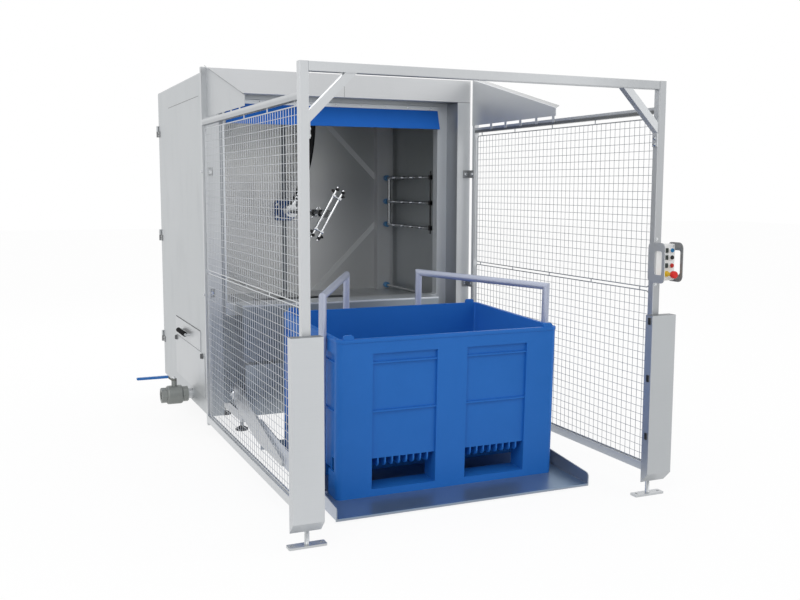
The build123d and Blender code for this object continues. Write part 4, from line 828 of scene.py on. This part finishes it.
# painted shade of the seams: dark strips in the side panel's fold, the slot above the drawer and the
# lintel's joint
seamSpec = {"fold": {"x": (-880.6, -880), "y": (119, 1099), "z": (2051, 2053)},
            "slot": {"x": (-880.6, -880), "y": (200, 990), "z": (628.5, 632.5)},
            "joint": {"x": (-0.7, 0.7), "y": (-0.6, 0), "z": (2070, 2206)}}
makeBlocks("panelSeams", "seamGrey", seamSpec.values())

# threaded spindles of the feet, with lock nuts under the cabinet
footSpec = {"pads": [(x, y) for x in (-647, 647) for y in (130, 585, 1380)], "padZ": (26, 62),
            "posts": [(-889, -1914), (889, -1914)], "postZ": (12, 100), "pitch": 4,
            "crest": 0.0114, "root": 0.0099, "sides": 12, "nut": 0.017, "nutTop": 75}


def addThread(bm, x, y, low, high, spec):
    z = low
    half = spec["pitch"] / 2
    while z < high:
        bar(bm, spot(x, y, z), spot(x, y, z + half), spec["root"], spec["sides"], spec["crest"])
        bar(bm, spot(x, y, z + half), spot(x, y, z + 2 * half), spec["crest"], spec["sides"], spec["root"])
        z += spec["pitch"]


bm = bmesh.new()
for x, y in footSpec["pads"]:
    addThread(bm, x, y, *footSpec["padZ"], footSpec)
    bar(bm, spot(x, y, footSpec["padZ"][1]), spot(x, y, footSpec["nutTop"]), footSpec["nut"], nutSides)
for x, y in footSpec["posts"]:
    addThread(bm, x, y, *footSpec["postZ"], footSpec)
addPiece("footThreads", bm, "machine", "brightSteel", sharp=25)

# bolts, foot welds and hub caps of the cradle
hoopSpec = {"near": (622, -1435), "far": (224, -691), "plateZ": -151, "boltStep": (-24, 24),
            "nearBoltX": 652, "farBoltY": -661, "bolt": 0.0065, "washer": 1.4, "weldRise": 5,
            "weld": (0.0235, 0.0192), "weldSides": 28, "hubX": 713, "capThick": 5,
            "cap": (0.038, 0.036), "capSides": 32, "capBolt": 0.011, "capWasher": 1.6}


def makeCradleBolts(spec):
    bm = bmesh.new()
    upward = cradleFrame.to_3x3() @ Vector((0, 0, 1))
    plateZ = spec["plateZ"]
    (nearX, nearY), (farX, farY) = spec["near"], spec["far"]
    foot, top = spec["weld"]
    rim, front = spec["cap"]
    for side in (-1, 1):
        for step in spec["boltStep"]:
            for x, y in ((side * spec["nearBoltX"], nearY + step), (side * farX + step, spec["farBoltY"])):
                hexBolt(bm, onCradle(x, y, plateZ), upward, spec["bolt"], spec["washer"])
        for x, y in ((side * nearX, nearY), (side * farX, farY)):
            weldTop = onCradle(x, y, plateZ + spec["weldRise"])
            bar(bm, onCradle(x, y, plateZ), weldTop, foot, spec["weldSides"], top)
        hub, face = side * spec["hubX"], side * (spec["hubX"] + spec["capThick"])
        bar(bm, onCradle(hub, 0, 0), onCradle(face, 0, 0), rim, spec["capSides"], front)
        hexBolt(bm, onCradle(face, 0, 0), (side, 0, 0), spec["capBolt"], spec["capWasher"])
    addPiece("cradleBolts", bm, "cradle", "brightSteel")


makeCradleBolts(hoopSpec)

# moulded band round the crate's rim
rimSpec = {"half": (603, 443), "middle": -1152, "z": (603, 619), "corner": 0.033, "cornerSteps": 8,
           "thick": 0.003, "edge": 0.0012}


def cornerEdges(bm, angle=1.2):  # edges that bend by more than this many radians
    return [edge for edge in bm.edges if edge.calc_face_angle(0) > angle]


def makeCrateRim(spec):
    bm = bmesh.new()
    halfX, halfY = spec["half"]
    low, high = spec["z"]
    slab(bm, Vector((-halfX, spec["middle"] - halfY, low)) / 1000,
         Vector((halfX, spec["middle"] + halfY, high)) / 1000)
    uprights = [edge for edge in bm.edges if edge.verts[0].co.z != edge.verts[1].co.z]
    bevelEdges(bm, uprights, spec["corner"], spec["cornerSteps"])
    flat = [face for face in bm.faces if abs(face.normal.z) > 0.9]
    bmesh.ops.delete(bm, geom=flat, context="FACES_ONLY")
    bmesh.ops.solidify(bm, geom=bm.faces[:], thickness=spec["thick"])
    bevelEdges(bm, cornerEdges(bm), spec["edge"])
    bmesh.ops.transform(bm, matrix=cradleFrame, verts=bm.verts)
    bmesh.ops.recalc_face_normals(bm, faces=bm.faces)
    addPiece("crateRim", bm, "cradle", "crateBlue", sharp=40)


makeCrateRim(rimSpec)

# nozzles of the side bars
barSpec = {"z": (1588, 1408, 1232), "y": (560, 720, 880, 1040), "x": 775, "nut": 12, "nutRadius": 0.0085,
           "tip": 9, "tipRadius": (0.0075, 0.0042)}


def makeBarNozzles(spec):
    bm = bmesh.new()
    foot, mouth = spec["tipRadius"]
    for side in (-1, 1):
        for z in spec["z"]:
            for y in spec["y"]:
                seat = spot(side * spec["x"], y, z)
                bar(bm, spot(side * (spec["x"] + spec["nut"]), y, z), seat, spec["nutRadius"], nutSides)
                bar(bm, seat, spot(side * (spec["x"] - spec["tip"]), y, z), foot, roundSides, mouth)
    addPiece("barNozzles", bm, "machine", "brightSteel")


# black nozzles of the spray arm, one in front of each tube's end and one on its outer side
nozzleSpec = {"x": 23, "frontZ": 171, "frontY": -24, "sideX": 31, "sideZ": 152,
              "front": {"nut": 0.016, "nutRadius": 0.0115, "tip": 0.010, "radius": 0.0095, "mouth": 0.005},
              "outer": {"nut": 0.012, "nutRadius": 0.0105, "tip": 0.009, "radius": 0.0085, "mouth": 0.005}}


def addNozzle(bm, seat, out, spec):  # six-sided nut from the tube outwards, then a tapered tip
    face = seat + out * spec["nut"]
    bar(bm, seat, face, spec["nutRadius"], nutSides)
    bar(bm, face, face + out * spec["tip"], spec["radius"], roundSides, spec["mouth"])


def makeArmNozzles(spec):
    bm = bmesh.new()
    forward = Vector((0, -1, 0))
    for side in (-1, 1):
        for end in (-1, 1):
            face = Vector((side * spec["x"], spec["frontY"], end * spec["frontZ"])) / 1000
            addNozzle(bm, face - forward * spec["front"]["nut"], forward, spec["front"])
            seat = Vector((side * spec["sideX"], 0, end * spec["sideZ"])) / 1000
            addNozzle(bm, seat, Vector((side, 0, 0)), spec["outer"])
    bmesh.ops.transform(bm, matrix=rotorFrame, verts=bm.verts)
    addPiece("armNozzles", bm, "spray_rotor", "capBlack")


# clamp blocks at the spray arm's rungs, and plugs in its tubes' ends
armSpec = {"x": 23, "clampZ": 125, "clampHalf": Vector((0.013, 0.012, 0.009)), "edge": 0.003,
           "plugZ": (173, 188), "plug": 0.0104, "plugSides": 20}


def makeArmClamps(spec):
    bm = bmesh.new()
    for side in (-1, 1):
        for end in (-1, 1):
            middle = Vector((side * spec["x"], 0, end * spec["clampZ"])) / 1000
            soften(bm, slab(bm, middle - spec["clampHalf"], middle + spec["clampHalf"]), spec["edge"])
            plugEnds = [Vector((side * spec["x"], 0, end * z)) / 1000 for z in spec["plugZ"]]
            bar(bm, *plugEnds, spec["plug"], spec["plugSides"])
    bmesh.ops.transform(bm, matrix=rotorFrame, verts=bm.verts)
    addPiece("armClamps", bm, "spray_rotor", "brightSteel")


makeBarNozzles(barSpec)
makeArmNozzles(nozzleSpec)
makeArmClamps(armSpec)

# black clamps at the side bars' front ends, and clips on the light curtain covers
clampSpec = {"x": (789, 817), "y": (431, 450), "z": barSpec["z"], "half": 17}
coverSpec = {"x": (826, 831), "y": (-1972, -1956), "z": (880, 600, 313), "half": 17}
makeBlocks("barClamps", "capBlack", pairedBlocks(clampSpec), edge=0.004, segments=3)
makeBlocks("coverClips", "capBlack", pairedBlocks(coverSpec), edge=0.002)

# grip sleeve of the filter drawer
sleeveSpec = {"x": -914, "y": (512, 748), "z": 566, "radius": 0.0155, "sides": 28, "edge": 0.003,
              "edgeSteps": 3}
bm = bmesh.new()
sleeveEnds = [spot(sleeveSpec["x"], y, sleeveSpec["z"]) for y in sleeveSpec["y"]]
bar(bm, *sleeveEnds, sleeveSpec["radius"], sleeveSpec["sides"])
bevelEdges(bm, cornerEdges(bm), sleeveSpec["edge"], sleeveSpec["edgeSteps"])
addPiece("drawerSleeve", bm, "drawer", "gripBlack")

# stem nut of the drain lever, and screws of the control box
leverNut = {"x": [-995], "y": [500], "z": [286.5], "out": (0, 0, 1),
            "head": {"radius": 0.0105, "washer": 1.35}}
boxScrews = {"x": (881, 971), "y": [-1948], "z": (1081, 1240), "out": (0, -1, 0),
             "head": {"radius": 0.0038}}
makeHeads("leverNut", "drain_lever", hexBolt, leverNut)
makeHeads("boxScrews", "machine", domeScrew, boxScrews)

# cooling fins and terminal box of the tilt motor, and its gear case's bolts
motorSpec = {"x": -530, "y": 95, "z": (452, 588), "fins": 10, "outer": 0.084, "inner": 0.0775,
             "thick": 0.0035, "sides": 40, "boxX": (-460, -414), "boxY": (60, 130),
             "boxZ": (480, 560), "boxEdge": 0.006, "boxSteps": 3}
gearBolts = {"x": [-450], "y": (20, 170), "z": (200, 370), "out": (1, 0, 0),
             "head": {"radius": 0.008}}


def makeMotorFins(spec):
    bm = bmesh.new()
    low, high = spec["z"]
    for fin in range(spec["fins"]):
        z = low + (high - low) * fin / (spec["fins"] - 1)
        tube(bm, spot(spec["x"], spec["y"], z), (0, 0, 1), spec["outer"], spec["inner"], spec["thick"],
             spec["sides"])
    soften(bm, block(bm, spec["boxX"], spec["boxY"], spec["boxZ"]), spec["boxEdge"], spec["boxSteps"])
    addHeads(bm, hexBolt, gearBolts)
    addPiece("motorFins", bm, "machine", "motorGrey")


makeMotorFins(motorSpec)
print("details made")

# studio: pale floor, soft sky and three large lamps
studio = {"floor": 60, "floorDrop": 0.0005, "floorRough": 0.9, "floorGlow": 0.9, "sky": 0.84,
          "lampSize": 4, "seenFloor": (1, 1, 1), "litFloor": (0.62, 0.62, 0.62),
          "white": (1, 1, 1, 1)}
lamps = {"keyLamp": {"place": (-4.5, -5.5, 5.5), "target": (0, -0.6, 0.9), "power": 105},
         "fillLamp": {"place": (5, -4.5, 3.2), "target": (0, -0.4, 1), "power": 28},
         "rearLamp": {"place": (0.5, 4.8, 5), "target": (0, 0.4, 1.2), "power": 60}}


def addLamp(name, place, target, power):
    lampData = bpy.data.lights.new(name, "AREA")
    lampData.shape = "SQUARE"
    lampData.size = studio["lampSize"]
    lampData.energy = power
    lamp = bpy.data.objects.new(name, lampData)
    bpy.context.scene.collection.objects.link(lamp)
    facing = (Vector(target) - Vector(place)).to_track_quat("-Z", "Y")
    lamp.matrix_world = Matrix.Translation(place) @ facing.to_matrix().to_4x4()


for lampName, lampSpec in lamps.items():
    addLamp(lampName, **lampSpec)


def seenBy(tree, *rays):  # 1 where one of these rays arrives
    path = tree.nodes.new("ShaderNodeLightPath")
    seen = 0
    for ray in rays:
        seen = seen + Sock(tree, path.outputs[ray])
    return seen.within(0, 1)


# the sky lights the object softly, and is white where the camera, metal or glass sees it
world = bpy.data.worlds.new("studioSky")
bpy.context.scene.world = world
world.use_nodes = True
skyTree = world.node_tree
seenSky = seenBy(skyTree, "Is Camera Ray", "Is Glossy Ray", "Is Transmission Ray")
skySlots = skyTree.nodes["Background"].inputs
feed(skySlots["Strength"], seenSky * (1 - studio["sky"]) + studio["sky"])
feed(skySlots["Color"], studio["white"])

# the eye sees a white floor that keeps the shadow, the object is lit by a greyer one
floorMesh = bpy.data.meshes.new("studioFloor")
bm = bmesh.new()
bmesh.ops.create_grid(bm, x_segments=1, y_segments=1, size=studio["floor"] / 2)
bm.to_mesh(floorMesh)
bm.free()
floor = bpy.data.objects.new("studioFloor", floorMesh)
floor.location.z = -studio["floorDrop"]
bpy.context.scene.collection.objects.link(floor)
paint = Finish("paleFloor")
floorColour = seenBy(paint.tree, "Is Camera Ray").mix(studio["litFloor"], studio["seenFloor"])
paint.set(Base_Color=floorColour, Roughness=studio["floorRough"])
lit = Sock(paint.tree, paint.shader.outputs[0])
glow = lit.make("ShaderNodeEmission", None, {"Color": studio["white"]})
share = seenBy(paint.tree, "Is Camera Ray", "Is Glossy Ray") * studio["floorGlow"]
feed(paint.tree.nodes["Material Output"].inputs["Surface"],
     lit.make("ShaderNodeMixShader", None, {0: share, 1: lit, 2: glow}))
floorMesh.materials.append(paint.material)
bpy.context.scene.view_settings.view_transform = "Standard"
print("studio set")
